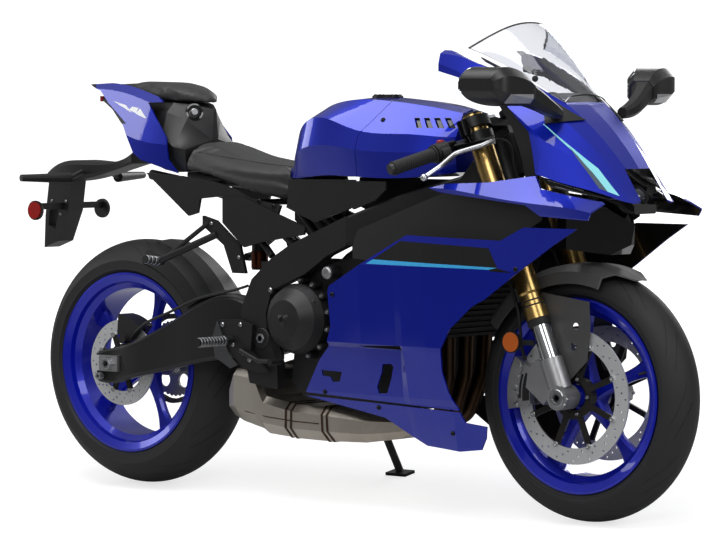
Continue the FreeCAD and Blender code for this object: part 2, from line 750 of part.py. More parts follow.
def frame():
    """Twin spars from the steering head down to the pivot plates, as one casting."""
    out, thick = num("frame_half_width"), num("frame_plate_thickness")
    inside = out - thick
    px, pz = num("pivot_x"), num("pivot_height")
    side = [(488, 292), (465, 384), (459, 473), (494, 549), (560, 604), (623, 640), (800, 712),
            (800, 640), (738, 614), (669, 568), (560, 524), (541, 467), (545, 414), (578, 345), (580, 280)]
    cheek = prism(side, inside, out)
    spar = skin_box([(800, inside, out, 640, 712), (930, inside - 30, out - 28, 668, 762),
                     (1040, 62, 94, 716, 798), (1088, 46, 76, 750, 812), (1114, 36, 66, 768, 850),
                     (1152, 22, 48, 796, 882)], ruled=True)
    half = cheek.fuse(spar)
    whole = half.fuse(mirrored(half))
    lug = block((596, inside - 20, 600), (640, inside, 626))
    ties = [block((500, -inside, 560), (545, inside, 592)), block((520, -inside, 300), (552, inside, 326)),
            lug, mirrored(lug)]
    offset = num("fork_offset")
    low = num("bottom_yoke_height") + num("yoke_thickness") + 2
    high = num("top_yoke_height") - 2
    head = Part.makeCylinder(num("head_tube_radius"), high - low, Vector(-offset, 0, low), Vector(0, 0, 1))
    bore = Part.makeCylinder(num("stem_radius") + num("running_gap"), high - low + 4,
                             Vector(-offset, 0, low - 2), Vector(0, 0, 1))
    to_bike = BIKE.inverse().multiply(FORK)
    head.Placement = to_bike
    bore.Placement = to_bike
    shaft = rod((px, -out - 4, pz), (px, out + 4, pz), num("pivot_radius"))
    whole = whole.fuse(ties + [head, shaft, stand_pin()]).cut(bore)
    whole = whole.cut(rod((px, -out - 8, pz), (px, out + 8, pz), num("axle_bore_radius")))
    featured("frame", whole)


def skin_box(stations, ruled=False):
    """A four-sided bar lofted along X from (x, y_in, y_out, z_low, z_high)."""
    wires = []
    for x, y_in, y_out, z_low, z_high in stations:
        corner = min(y_out - y_in, z_high - z_low) * 0.22
        points = [Vector(x, y, z) for y, z in box_section(y_in, y_out, z_low, z_high, corner)]
        wires.append(Part.makePolygon(points + points[:1]))
    return Part.makeLoft(wires, True, ruled)


def engine():
    """One plain block, with a notch on its left where the chain's front sprocket turns."""
    body = new_body("Engine")
    half = size("engine_half_width")
    plate(body, "Block", ENGINE_SIDE, -half, 2 * half)
    line, width = num("chain_line"), num("chain_width")
    notch = sketch_in(body, "NotchOutline", "XZ_Plane", [(580, 340), (672, 340), (700, 380), (700, 520), (580, 520)],
                      None, -(line - width / 2 - 6))
    pocket = body.newObject("PartDesign::Pocket", "ChainNotch")
    pocket.Profile = notch
    pocket.Length = 60
    node(body, "engine", BIKE)


def covers():
    """The domed clutch cover with its three ridges, the generator's cover and the sprocket's."""
    half = num("engine_half_width")
    centre = Vector(638, 0, 456)
    radius = 87
    profile = [(0, half), (radius, half), (radius, half + 34), (radius - 11, half + 58), (48, half + 84),
               (0, half + 88)]
    points = [Vector(r, y, 0) for r, y in profile]
    dome = Part.Face(Part.makePolygon(points + points[:1])).revolve(Vector(), Vector(0, 1, 0), 360)
    ridges = []
    for angle in (35, 150, 268):
        way = Vector(math.cos(math.radians(angle)), 0, math.sin(math.radians(angle)))
        ridges.append(cone(way * 4 + Vector(0, half + 86, 0), way * (radius - 6) + Vector(0, half + 44, 0), 8, 6))
    dome = dome.fuse(ridges)
    dome.translate(centre)
    filler = rod((738, half, 572), (738, half + 36, 572), 16)
    profile = [(0, half), (72, half), (72, half + 30), (60, half + 52), (0, half + 56)]
    points = [Vector(r, y, 0) for r, y in profile]
    generator = Part.Face(Part.makePolygon(points + points[:1])).revolve(Vector(), Vector(0, 1, 0), 360)
    generator.translate(Vector(812, 0, 420))
    sprocket = prism([(586, 372), (660, 366), (724, 400), (724, 470), (690, 506), (590, 496)], half, half + 32)
    featured("engine_covers", Part.makeCompound([mirrored(fused(dome, filler)), generator.fuse(sprocket)]))


def swingarm():
    """Two box arms joined ahead of the tyre, slotted for the axle blocks and hung on the pivot."""
    px, pz = num("pivot_x"), num("pivot_height")
    z0 = REAR_AXLE_Z
    inside, outside = num("arm_inside"), num("arm_outside")
    right = skin_box([(-46, inside, outside, z0 - 48, z0 + 30), (48, inside, outside, z0 - 40, z0 + 50),
                      (164, inside - 2, outside, z0 - 14, 412), (232, 106, 144, 318, 446), (320, 96, 140, 336, 490),
                      (400, 75, 126, 350, 505), (470, 60, 118, 372, 470), (px + 22, 60, 118, pz - 14, pz + 28)])
    left = skin_box([(-46, inside, outside, z0 - 48, z0 + 30), (48, inside, outside, z0 - 40, z0 + 42),
                     (164, inside - 2, outside, z0 - 14, 388), (232, 106, 144, 322, 402), (320, 96, 140, 334, 418),
                     (400, 75, 126, 352, 430), (470, 60, 118, 376, 440), (px + 22, 60, 118, pz - 14, pz + 28)])
    bridge = block((345, -85, 368), (396, 85, 428))
    pivot = rod((px, -119, pz), (px, 119, pz), 24)
    whole = mirrored(right).fuse([left, bridge, pivot])
    whole = whole.cut(rod((px, -130, pz), (px, 130, pz), num("pivot_radius")))
    slot = block((-60, -160, z0 - num("slot_half")), (34, 160, z0 + num("slot_half")))
    featured("swingarm", whole.cut(slot))


def axle_blocks():
    """A bright block slides in each arm's slot and carries the axle, with its adjuster screw behind.

    The threaded boss for a paddock stand's bobbin is welded on the arm below it.
    """
    z0 = REAR_AXLE_Z
    inside, outside = num("arm_inside"), num("arm_outside")
    body = block((-34, inside, z0 - num("slot_half")), (30, outside + 5, z0 + num("slot_half")))
    screw = rod((-52, (inside + outside) / 2, z0), (-34, (inside + outside) / 2, z0), 6)
    body = body.fuse(screw).cut(rod((0, inside - 5, z0), (0, outside + 9, z0), num("axle_radius")))
    x, z = -num("spool_back"), z0 - num("spool_drop")
    mouth = outside + num("spool_depth")
    boss = rod((x, outside, z), (x, mouth, z), num("spool_radius") + 5)
    boss = boss.cut(rod((x, outside - 1, z), (x, mouth + 1, z), num("spool_radius")))
    featured("axle_blocks", Part.makeCompound([body, mirrored(body), boss, mirrored(boss)]))


def rear_shock():
    """The spring over its damper, and the fluid reservoir beside its top end."""
    low, high, lean = 340, 588, 444
    core, wire, pitch = 16, 31, 22
    profile = [(0, low), (core, low), (core, low + 44), (wire, low + 46), (wire, low + 54)]
    for index in range(7):
        z = low + 60 + pitch * index
        profile += [(wire - 9, z - 4), (wire, z + 2), (wire, z + 8), (wire - 9, z + 14)]
    profile += [(wire, high - 36), (wire, high - 28), (core, high - 26), (core, high), (0, high)]
    points = [Vector(r, 0, z) for r, z in profile]
    spring = Part.Face(Part.makePolygon(points + points[:1])).revolve(Vector(), Vector(0, 0, 1), 360)
    spring.translate(Vector(lean, 0, 0))
    reservoir = rod((416, -38, 566), (416, -38, 632), 20)
    neck = block((426, -34, 572), (440, -8, 584))
    featured("rear_shock", fused(spring, reservoir, neck))


def radiator():
    """The cooling core leans back between the fairing's sides, with ribs across its face."""
    half, height, deep = 162, 250, 28
    core = block((-deep / 2, -half, -height / 2), (deep / 2, half, height / 2))
    ribs = []
    pitch = 14
    for index in range(int(height / pitch)):
        z = -height / 2 + pitch * (index + 0.3)
        ribs.append(block((deep / 2, -half + 14, z), (deep / 2 + 5, half - 14, z + 5)))
    core = core.fuse(ribs)
    core.rotate(Vector(), Vector(0, 1, 0), 16)
    core.translate(Vector(1118, 0, 552))
    featured("radiator", core)


def exhaust():
    """Three header pipes run down ahead of the engine and back to the box muffler below it."""
    pipes = []
    for y in (-75, 0, 75):
        pipes.append(pipe([(1016, y, 590), (1052, y, 520), (1044, y * 0.9, 330), (1008, y * 0.7, 228),
                           (918, y * 0.45, 200)], 19, 36))
    half = num("engine_half_width")
    gap = 2
    engine_room = prism([(x + gap, z - gap) for x, z in ENGINE_SIDE], -half - gap, half + gap)
    muffler_front = 930
    headers = pipes[0].fuse(pipes[1:]).cut(engine_room)
    headers = headers.cut(block((800, -200, 150), (muffler_front, 200, 250)))
    featured("exhaust_headers", headers)
    stations = [(362, 84, 216, 258, 12), (374, 106, 202, 280, 14), (400, 120, 188, 322, 16), (470, 123, 172, 314, 16),
                (500, 123, 163, 256, 16), (600, 121, 156, 240, 18), (690, 118, 154, 240, 20), (800, 100, 156, 230, 20),
                (870, 76, 166, 226, 16), (muffler_front, 52, 184, 216, 10)]
    body = new_body("Muffler")
    half_sections = []
    for x, half, low, high, round_off in stations:
        cut = (high - low) * 0.3
        half_sections.append((x, both_sides([(half - round_off, high), (half, high - round_off), (half, low + cut),
                                             (half - cut, low)])))
    lofted(body, "Box", half_sections)
    chain_room = num("chain_line") - num("chain_width") / 2 - 6
    notch = sketch_in(body, "ChainRoomOutline", "XZ_Plane", [(350, 304), (500, 304), (500, 340), (350, 340)],
                      None, -chain_room)
    pocket = body.newObject("PartDesign::Pocket", "ChainRoom")
    pocket.Profile = notch
    pocket.Length = 100
    node(body, "muffler", BIKE)


# Tank, seats and tail

TANK = [
    (558, [(0, 836), (45, 833), (74, 826), (84, 814), (86, 800)]),
    (600, [(0, 908), (60, 902), (105, 884), (118, 845), (118, 800)]),
    (650, [(0, 967), (75, 960), (140, 934), (152, 872), (132, 803)]),
    (700, [(0, 989), (85, 982), (153, 950), (162, 882), (140, 808)]),
    (780, [(0, 1000), (88, 994), (155, 934), (166, 880), (148, 809)]),
    (870, [(0, 997), (84, 991), (149, 914), (160, 870), (150, 806)]),
    (950, [(0, 989), (78, 983), (138, 912), (146, 868), (138, 806)]),
    (1020, [(0, 978), (62, 972), (112, 908), (116, 866), (108, 812)]),
    (1072, [(0, 967), (46, 962), (74, 905), (75, 862), (70, 820)]),
]
SEAM = [(893, 1010), (833, 905), (825, 790)]
LID_X = 800
LID_TOP = 1003
LID_DEPTH = 15


def envelope(stations):
    """A closed solid lofted along X from half sections."""
    wires = []
    for x, half in stations:
        points = [Vector(x, y, z) for y, z in both_sides(half)]
        wires.append(Part.makePolygon(points + points[:1]))
    return Part.makeLoft(wires, True, False)


def tank():
    """The tank and the cover ahead of it share one surface, split by a slanted seam."""
    whole = envelope(TANK)
    gap = 1.5
    behind = prism(SEAM + [(500, 790), (500, 1010)], -200, 200)
    ahead = prism([(x + gap, z) for x, z in SEAM] + [(1100, 790), (1100, 1010)], -200, 200)
    well = rod((LID_X, 0, LID_TOP - LID_DEPTH - 1), (LID_X, 0, LID_TOP + 30), num("lid_radius") + 6)
    rear = whole.common(behind).cut(well)
    featured("fuel_tank", rear)
    front = whole.common(ahead)
    slots = []
    for index in range(4):
        x = 966 + 23 * index
        slots.append(prism([(x, 950), (x + 13, 950), (x + 31, 927), (x + 18, 927)], 60, 200))
    recess = Part.makeCompound(slots)
    core = envelope([(x, [(max(y - 7, 0), z) for y, z in half]) for x, half in TANK])
    cutter = recess.cut(core)
    front = front.cut(cutter).cut(mirrored(cutter))
    featured("tank_cover", front)


def fuel_cap():
    """The round lid lies in a well, and turns on a pin at its front edge."""
    radius = num("lid_radius")
    centre = Vector(LID_X, 0, LID_TOP)
    lid = rod(centre - Vector(0, 0, LID_DEPTH), centre, radius)
    hinge = rod((LID_X + radius + 1, -8, LID_TOP - 4), (LID_X + radius + 1, 8, LID_TOP - 4), 4)
    featured("fuel_cap", lid.fuse(hinge))


def seats():
    """The rider's cushion meets the tank, and the pillion's caps the tail."""
    stations = [(237, 118, 888, 846, 812), (300, 128, 871, 840, 806), (360, 133, 853, 834, 794),
                (430, 134, 837, 828, 774), (500, 128, 828, 822, 756), (548, 120, 826, 820, 752),
                (592, 112, 826, 820, 752)]
    wires = []
    for x, half, top, shoulder, low in stations:
        line = both_sides([(0, top), (half * 0.5, top - 2), (half * 0.86, (top + shoulder) / 2), (half, shoulder - 6),
                           (half + 2, shoulder - 14), (half, low), (0, low)])
        points = [Vector(x, y, z) for y, z in line]
        wires.append(Part.makePolygon(points + points[:1]))
    seam = 2
    tank_side = envelope(TANK)
    tank_side.translate(Vector(-seam, 0, 0))
    tank_floor = tank_side.translated(Vector(0, 0, -seam))
    cushion = Part.makeLoft(wires, True, False).cut([tank_side, tank_floor])
    featured("rider_seat", max(cushion.Solids, key=lambda solid: solid.Volume))
    body = new_body("PillionSeat")
    stations = [(-32, 48, 1026, 1008), (0, 56, 1036, 1000), (110, 73, 1034, 989), (160, 68, 1027, 987),
                (200, 46, 1015, 985), (228, 14, 998, 981)]
    sections = []
    for x, half, top, low in stations:
        sections.append((x, both_sides([(0, top), (half * 0.6, top - 2), (half, top - 11), (half, low), (0, low)])))
    lofted(body, "Pad", sections)
    node(body, "pillion_seat", BIKE)


def side_sheet(stations, outline_corners, wall, ruled=False):
    """A side panel: a lofted sheet trimmed to its side outline, for the left side."""
    return skin(stations, wall, ruled=ruled).common(prism(outline_corners, 0, 500))


def tail():
    """A swept blade on each side of a black centre, whose prow stands between the two seats."""
    wall = num("panel_thickness")
    stations = [(-175, [(40, 1034), (58, 1020), (62, 960), (58, 780)]),
                (-60, [(57, 1033), (80, 1016), (88, 930), (86, 780)]),
                (60, [(72, 1012), (101, 996), (110, 890), (104, 780)]),
                (140, [(84, 992), (115, 976), (122, 880), (113, 780)]),
                (230, [(92, 985), (120, 965), (127, 870), (118, 780)])]
    corners = [(-158, 1030), (-28, 1036), (100, 1004), (138, 985), (100, 984), (178, 894), (182, 840), (214, 806),
               (76, 838), (44, 855), (2, 925), (-100, 1014)]
    blade = side_sheet(stations, corners, wall)
    featured("tail_cowl", pair(blade))
    body = new_body("TailCentre")
    sections = []
    for x, line in ((-118, [(37, 1000), (46, 992), (46, 988), (32, 984)]),
                    (-40, [(50, 996), (62, 984), (62, 946), (43, 930)]),
                    (60, [(60, 986), (84, 966), (92, 900), (76, 838)]),
                    (150, [(66, 984), (92, 960), (112, 896), (98, 814)]),
                    (192, [(38, 979), (64, 940), (114, 872), (104, 808)]),
                    (232, [(4, 966), (12, 890), (114, 866), (108, 810)])):
        sections.append((x, both_sides(line)))
    lofted(body, "Body", sections)
    node(body, "tail_centre", BIKE)


def rear_lamps():
    """The red lamp across the tail and a round red reflector low on each side."""
    lamp = block((-128, -46, 986), (-119, 46, 1000))
    reach = num("reflector_spread")
    disc = rod((-285, reach - 4, 702), (-285, reach + 5, 702), 22)
    featured("rear_lamps", Part.makeCompound([lamp, disc, mirrored(disc)]))


def subframe():
    """Rails from the frame's lugs back under the seats, braced to the pivot plates."""
    rail = pipe([(600, 114, 640), (430, 108, 740), (250, 92, 778), (80, 72, 800)], 13, 90)
    brace = rod((524, 114, 606), (392, 108, 738), 9)
    half = rail.fuse(brace)
    ties = [rod((250, -92, 778), (250, 92, 778), 8), rod((440, -104, 736), (440, 104, 736), 8)]
    featured("subframe", half.fuse([mirrored(half)] + ties))


def side_covers():
    """Dark panels: one below the seat, a long one under the tail and one at the rider's knee."""
    corners = [(383, 748), (449, 750), (655, 681), (650, 662), (509, 640), (454, 626), (383, 686)]
    panel = prism(corners, 134, 142)
    lower = prism([(118, 806), (263, 700), (294, 708), (302, 744), (383, 752), (556, 700), (570, 732), (470, 748),
                   (430, 766), (356, 786), (240, 800)], 128, 136)
    knee = prism([(600, 798), (596, 742), (592, 728), (683, 694), (792, 728), (808, 736), (792, 770), (812, 800)],
                 132, 140)
    filler = prism([(780, 776), (800, 734), (812, 728), (880, 752), (912, 778), (912, 797), (780, 797)], 138, 144)
    knee = knee.fuse(filler)
    under_seat = panel.fuse(lower)
    featured("side_covers", Part.makeCompound([under_seat, mirrored(under_seat), knee, mirrored(knee)]))


def plate_hanger():
    """The arm behind the tail with the plate's holder, and the swept indicators on its sides."""
    arm = skin_box([(-330, -36, 36, 780, 800), (-290, -44, 44, 776, 822), (-120, -40, 40, 800, 828),
                    (-20, -44, 44, 826, 856)])
    drop = prism([(-349, 601), (-345, 687), (-331, 780), (-250, 780), (-262, 700), (-298, 619)], -28, 28)
    drop = drop.cut(prism([(-334, 660), (-330, 700), (-296, 704), (-308, 650)], -40, 40))
    reach = num("reflector_spread") - 4
    wings = block((-296, -reach, 704), (-276, reach, 720))
    featured("plate_bracket", arm.fuse([drop, wings]))
    root, knuckle, tip = Vector(-190, 50, 803), Vector(-194, 90, 787), Vector(-234, 230, 789)
    lens = cone(knuckle, tip, 14, 9).fuse(rod(root, knuckle, 7))
    featured("rear_indicators", pair(lens))


# Fairing

FLANK_HEIGHTS = [700, 600, 410, 398, 285, 270, 150]
FLANK_WIDTHS = {
    560: [190, 196, 188, 176, 160, 154, 110],
    700: [206, 214, 206, 192, 176, 170, 122],
    900: [222, 234, 222, 204, 188, 182, 132],
    1010: [225, 237, 224, 206, 194, 188, 142],
    1030: [226, 238, 226, 222, 198, 190, 146],
    1100: [228, 240, 228, 226, 200, 192, 158],
    1160: [228, 239, 228, 226, 202, 194, 172],
    1300: [226, 236, 226, 224, 204, 196, 172],
    1600: [222, 228, 220, 218, 198, 190, 172],
}
FLANK = [(x, list(zip(widths, FLANK_HEIGHTS))) for x, widths in FLANK_WIDTHS.items()]
SIDE_PANEL = [(685, 280), (742, 362), (782, 402), (799, 446), (793, 532), (798, 545), (927, 612), (1045, 674),
              (1327, 668), (1440, 725), (1573, 718), (1483, 664), (1408, 614), (1281, 529), (1245, 512), (1177, 456),
              (1148, 408), (1144, 353), (1156, 303), (1178, 262)]
LOWER_PANEL = [(680, 272), (932, 230), (1004, 191), (1053, 169), (1167, 163), (1232, 171), (1250, 200), (1256, 228),
               (1192, 234), (1178, 258)]
SCOOP = [(884, 404), (1022, 410), (1025, 399), (905, 401)]
WINDOW = [(746, 338), (814, 336), (804, 312), (780, 310), (774, 322), (748, 324)]
VENT = [(930, 290), (958, 292), (975, 330), (984, 357), (976, 364), (950, 362), (944, 340), (926, 306)]


def flank_panels():
    """The side panels carry a scoop, a small window and a vent, and the belly panels close below."""
    wall = num("panel_thickness")
    side = side_sheet(FLANK, SIDE_PANEL, wall, ruled=True)
    for corners in (SCOOP, WINDOW, VENT):
        side = side.cut(prism(corners, 100, 300))
    featured("fairing_left", side)
    featured("fairing_right", mirrored(side))
    lower = side_sheet(FLANK, LOWER_PANEL, wall, ruled=True)
    featured("lower_fairings", pair(lower))


def vent_panels():
    """The dark inner duct above each side panel, the cheek beside the cockpit and the screen's surround."""
    wall = num("panel_thickness")
    stations = [(840, [(176, 800), (182, 600)]), (1100, [(186, 800), (196, 600)]),
                (1420, [(190, 800), (204, 600)])]
    corners = [(836, 612), (842, 654), (858, 682), (1106, 768), (1140, 776), (1396, 750), (1440, 728),
               (1330, 664), (1045, 668), (925, 606)]
    duct = side_sheet(stations, corners, wall)
    cheek = prism([(1271, 983), (1297, 984), (1363, 921), (1378, 879), (1394, 819), (1350, 813), (1335, 870),
                   (1310, 930)], 152, 164)
    strip = skin([(1185, [(122, 1093), (106, 1084)]), (1300, [(101, 1038), (74, 1026)]),
                  (1386, [(72, 988), (40, 984)])], 3)
    sill = prism([(1346, 1010), (1388, 990), (1386, 984), (1342, 1003)], -66, 66)
    surround = fused(strip, mirrored(strip), sill)
    featured("inner_panels", Part.makeCompound([duct, mirrored(duct), cheek, mirrored(cheek), surround]))


def wing_panels():
    """The upper blade on each side, ending in the winglet beside the nose."""
    wall = num("panel_thickness")
    stations = [(1090, [(196, 830), (222, 786), (212, 740), (200, 690)]),
                (1250, [(192, 830), (226, 775), (216, 740), (200, 690)]),
                (1400, [(180, 830), (232, 758), (226, 735), (212, 690)]),
                (1520, [(150, 800), (230, 748), (226, 726), (212, 690)]),
                (1580, [(110, 780), (224, 738), (222, 722), (210, 690)])]
    corners = [(1106, 786), (1153, 797), (1273, 802), (1340, 811), (1397, 819), (1424, 790), (1570, 762),
               (1590, 750), (1573, 720), (1440, 727), (1399, 752), (1140, 777)]
    featured("wing_panels", pair(side_sheet(stations, corners, wall)))


NOSE = [
    (1090, [(140, 1112), (158, 1104), (166, 1080), (168, 1050)]),
    (1200, [(126, 1092), (152, 1080), (170, 1040), (176, 1000)]),
    (1300, [(106, 1046), (140, 1030), (172, 980), (182, 920)]),
    (1400, [(78, 988), (120, 962), (160, 900), (186, 820)]),
]
BEAK = [
    (1400, [(0, 990), (78, 988), (120, 962), (160, 900), (186, 820)]),
    (1470, [(0, 936), (64, 930), (100, 908), (136, 860), (162, 800)]),
    (1540, [(0, 858), (50, 852), (80, 834), (108, 808), (128, 780)]),
    (1600, [(0, 772), (36, 768), (56, 762), (74, 758), (84, 752)]),
]


def nose():
    """The upper cowl: a hood over the lamp duct with an arm back along each side of the screen."""
    wall = num("panel_thickness")
    arm = skin(NOSE, wall)
    arm = arm.common(prism([(1090, 1112), (1108, 1112), (1420, 1000), (1420, 800), (1397, 819), (1378, 879),
                            (1363, 921), (1297, 984), (1154, 1047), (1092, 1062)], 0, 300))
    hood_stations = [(x, list(reversed([(-y, z) for y, z in half[1:]])) + half) for x, half in BEAK]
    hood = skin(hood_stations, wall)
    hood = hood.cut(prism([(1400, 700), (1400, 822), (1600, 756), (1640, 740), (1640, 700)], -300, 300))
    duct = upright([(1520, -48), (1700, -58), (1700, 58), (1520, 48)], 700, 835)
    featured("nose_cowl", fused(hood.cut(duct), arm, mirrored(arm)))
    throat = skin_box([(1420, -44, 44, 760, 850), (1500, -44, 44, 740, 826), (1576, -44, 44, 730, 752)])
    wedge = upright([(1546, 0), (1430, 112), (1404, 112), (1404, -112), (1430, -112)], 600, 760)
    chin = prism([(1400, 652), (1505, 634), (1540, 657), (1546, 704), (1500, 742), (1400, 742)], -200, 200)
    featured("nose_duct", throat.fuse(chin.common(wedge)))
    lamp = skin_box([(1404, 130, 178, 813, 818), (1424, 120, 168, 792, 811), (1470, 104, 150, 783, 797),
                     (1560, 84, 114, 765, 768)], ruled=True)
    featured("headlamps", pair(lamp))


def windscreen():
    """A clear bubble whose rear edge sweeps up from the cowl's arms."""
    wall = 3
    stations = [(1165, [(-148, 1118), (-120, 1150), (-70, 1178), (0, 1188), (70, 1178), (120, 1150), (148, 1118)]),
                (1240, [(-130, 1086), (-106, 1132), (-62, 1168), (0, 1180), (62, 1168), (106, 1132), (130, 1086)]),
                (1310, [(-110, 1048), (-90, 1086), (-54, 1112), (0, 1120), (54, 1112), (90, 1086), (110, 1048)]),
                (1360, [(-95, 1018), (-80, 1040), (-48, 1058), (0, 1063), (48, 1058), (80, 1040), (95, 1018)]),
                (1402, [(-80, 992), (-68, 1000), (-40, 1006), (0, 1008), (40, 1006), (68, 1000), (80, 992)])]
    screen = skin(stations, wall, smooth=True)
    trim = prism([(1100, 1090), (1163, 1114), (1248, 1183), (1250, 1300), (1100, 1300)], -200, 200)
    featured("windscreen", screen.cut(trim))


def cockpit():
    dash = prism([(1262, 1012), (1250, 1004), (1284, 950), (1296, 958)], -70, 70)
    stay = prism([(1284, 950), (1296, 958), (1370, 984), (1370, 976)], -10, 10)
    featured("instrument", dash.fuse(stay))


def mirrors():
    """Each mirror stands on an arm from the cowl, with its glass to the rear and a lamp in its edge."""
    out, top = num("mirror_half_width"), num("mirror_top")
    arm = skin_box_y([(124, 1404, 1430, 950, 976), (160, 1400, 1438, 956, 992), (200, 1390, 1434, 970, 1018),
                      (236, 1362, 1430, 984, 1040)])
    pod = skin_box_y([(232, 1358, 1432, 983, 1040), (262, 1334, 1432, 981, top - 10), (300, 1310, 1428, 984, top),
                      (336, 1296, 1420, 998, top - 6), (out, 1300, 1400, 1016, top - 26)])
    featured("mirrors", pair(arm.fuse(pod)))


def skin_box_y(stations):
    """A chamfered bar lofted along Y from (y, x_low, x_high, z_low, z_high)."""
    wires = []
    for y, x_low, x_high, z_low, z_high in stations:
        corner = min(x_high - x_low, z_high - z_low) * 0.25
        points = [Vector(x, y, z) for x, z in box_section(x_low, x_high, z_low, z_high, corner)]
        wires.append(Part.makePolygon(points + points[:1]))
    return Part.makeLoft(wires, True, False)


# Small chassis pieces


def footrests():
    """Plates outside the frame carry the rider's pegs, and long stays carry the passenger's."""
    out = num("frame_half_width")
    plate_in = out + 5
    corners = [(396, 446), (462, 449), (509, 437), (503, 371), (562, 321), (526, 319), (468, 334), (430, 370)]
    bracket = prism(corners, plate_in, plate_in + 9)
    spacer = rod((478, out, 420), (478, plate_in, 420), 9)
    peg = rod((440, plate_in, PEG_END_Z), (440, num("peg_half_width"), PEG_END_Z), 11)
    featured("rider_footrests", pair(fused(bracket, spacer, peg)))
    stay = prism([(300, 701), (345, 690), (424, 630), (444, 560), (400, 560), (371, 629), (300, 676)], 114, 124)
    arm = rod((345, 120, 655), (196, 176, 585), 9)
    second = rod((318, 120, 684), (212, 170, 592), 6)
    peg = rod((196, 160, 585), (196, 224, 592), 10)
    featured("passenger_footrests", pair(stay.fuse([arm, second, peg])))


def chain():
    """A loop of chain round both sprockets, with a waist between every two pins."""
    big, small = num("sprocket_radius") - 4, num("drive_sprocket_radius")
    thick, waist, pitch = num("chain_height"), 2.5, 15.875
    line, width = num("chain_line"), num("chain_width")
    ahead = Vector(600, 0, 430)
    rear = Vector(0, 0, REAR_AXLE_Z)
    slope = math.atan2(ahead.z - rear.z, ahead.x - rear.x)
    lean = math.asin((big - small) / (ahead - rear).Length)

    def loop(extra, depth):
        corners = []
        for centre, radius, first, last in (
                (ahead, small + extra, slope - math.pi / 2 - lean, slope + math.pi / 2 + lean),
                (rear, big + extra, slope + math.pi / 2 + lean, slope + 1.5 * math.pi - lean)):
            steps = max(8, round(radius * (last - first) / pitch * 2) // 2 * 2)
            for index in range(steps + 1):
                angle = first + (last - first) * index / steps
                reach = radius - (depth if index % 2 else 0)
                corners.append(centre + Vector(math.cos(angle), 0, math.sin(angle)) * reach)
        path = []
        for start, finish in zip(corners, corners[1:] + corners[:1]):
            path.append(start)
            run = (finish - start).Length
            if run < pitch * 3:
                continue
            links = round(run / pitch) if depth else 0
            side = (finish - start).normalize().cross(Vector(0, 1, 0))
            for index in range(1, links * 2):
                path.append(start + (finish - start) * (index / links / 2) + side * (depth if index % 2 else 0))
        face = Part.Face(Part.makePolygon(path + path[:1]))
        face.translate(Vector(0, line - width / 2, 0))
        return face.extrude(Vector(0, width, 0))

    featured("chain", loop(thick, waist).cut(loop(0, 0)))


def rear_hugger():
    inner = num("rear_tyre_radius") + 12
    wall = 4
    half = num("rear_tyre_half_width") + 4
    crest = [(half, inner - 60), (half - 10, inner - 24), (half - 44, inner - 4), (0, inner)]
    line = crest + [(-y, r) for y, r in reversed(crest[:-1])]
    outer = offset_line(line, -wall)
    points = [Vector(r, y, 0) for y, r in line] + [Vector(r, y, 0) for y, r in reversed(outer)]
    arch = Part.Face(Part.makePolygon(points + points[:1])).revolve(Vector(), Vector(0, -1, 0), 42)
    arch.rotate(Vector(), Vector(0, 1, 0), -34)
    featured("rear_hugger", arch, REAR_WHEEL)


def rear_caliper():
    body = caliper(num("rear_disc_radius"), num("rear_disc_place"), 36, 50, 86)
    hanger = rod((34, num("rear_disc_place") + 14, 63), (34, num("rear_disc_place") + 40, 63), 11)
    featured("rear_caliper", mirrored(body.fuse(hanger)), REAR_WHEEL)


STAND_PIVOT = Vector(572, 172, 300)


def stand_pin():
    """The pin that the side stand turns on."""
    return rod(STAND_PIVOT - Vector(0, 24, 0), STAND_PIVOT + Vector(0, 14, 0), 5)


def side_stand():
    """A leg on the left that swings down and ahead until its foot is flat on the ground."""
    out = num("stand_foot_out")
    tan = math.tan(LEAN)
    pivot = STAND_PIVOT
    foot = Vector(640, out, out * tan + 9)
    eye = rod(pivot + Vector(0, -9, 0), pivot + Vector(0, 9, 0), 16)
    leg = rod(pivot, foot, 10)
    pad = Part.makeBox(64, 40, 8, Vector(-32, -20, -9 / math.cos(LEAN)))
    pad.rotate(Vector(), Vector(1, 0, 0), num("lean_angle"))
    pad.translate(foot)
    whole = eye.fuse([leg, pad]).cut(rod(pivot + Vector(0, -12, 0), pivot + Vector(0, 12, 0), 5.05))
    featured("side_stand", whole)


front_rim = wheel("front", "front_rim", FRONT_WHEEL, -77)
front_tyre = tyre("front", "front_tyre", FRONT_WHEEL)
front_discs()
rear_rim = wheel("rear", "rear_rim", REAR_WHEEL, -57)
rear_tyre = tyre("rear", "rear_tyre", REAR_WHEEL)
rear_disc()
rear_sprocket()
axle("front_axle", size("fork_spread") + 27, FRONT_WHEEL)
axle("rear_axle", size("rear_disc_place") + 58, REAR_WHEEL)
fork_legs()
yokes()
handlebars()
levers()
brake_hoses()
front_calipers()
front_fender()
front_reflectors()
frame()
engine()
covers()
swingarm()
axle_blocks()
rear_shock()
radiator()
exhaust()
tank()
fuel_cap()
seats()
tail()
rear_lamps()
subframe()
side_covers()
plate_hanger()
flank_panels()
vent_panels()
wing_panels()
nose()
windscreen()
cockpit()
mirrors()
footrests()
chain()
rear_hugger()
rear_caliper()
side_stand()

doc.recompute()
for thing in doc.Objects:
    if "Invalid" in thing.State or "Error" in thing.State:
        raise RuntimeError(f"{thing.Name} failed: {thing.State}")
os.makedirs("parts", exist_ok=True)
for thing in nodes:
    if thing.Shape.isNull() or not thing.Shape.isValid():
        raise RuntimeError(f"{thing.Label} has no sound shape")
    thing.Shape.exportStep(f"parts/{thing.Label}.step")
print(len(nodes), "nodes")
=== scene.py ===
import json
import math
import bmesh
import bpy
from mathutils import Matrix, Vector
from mathutils.bvhtree import BVHTree


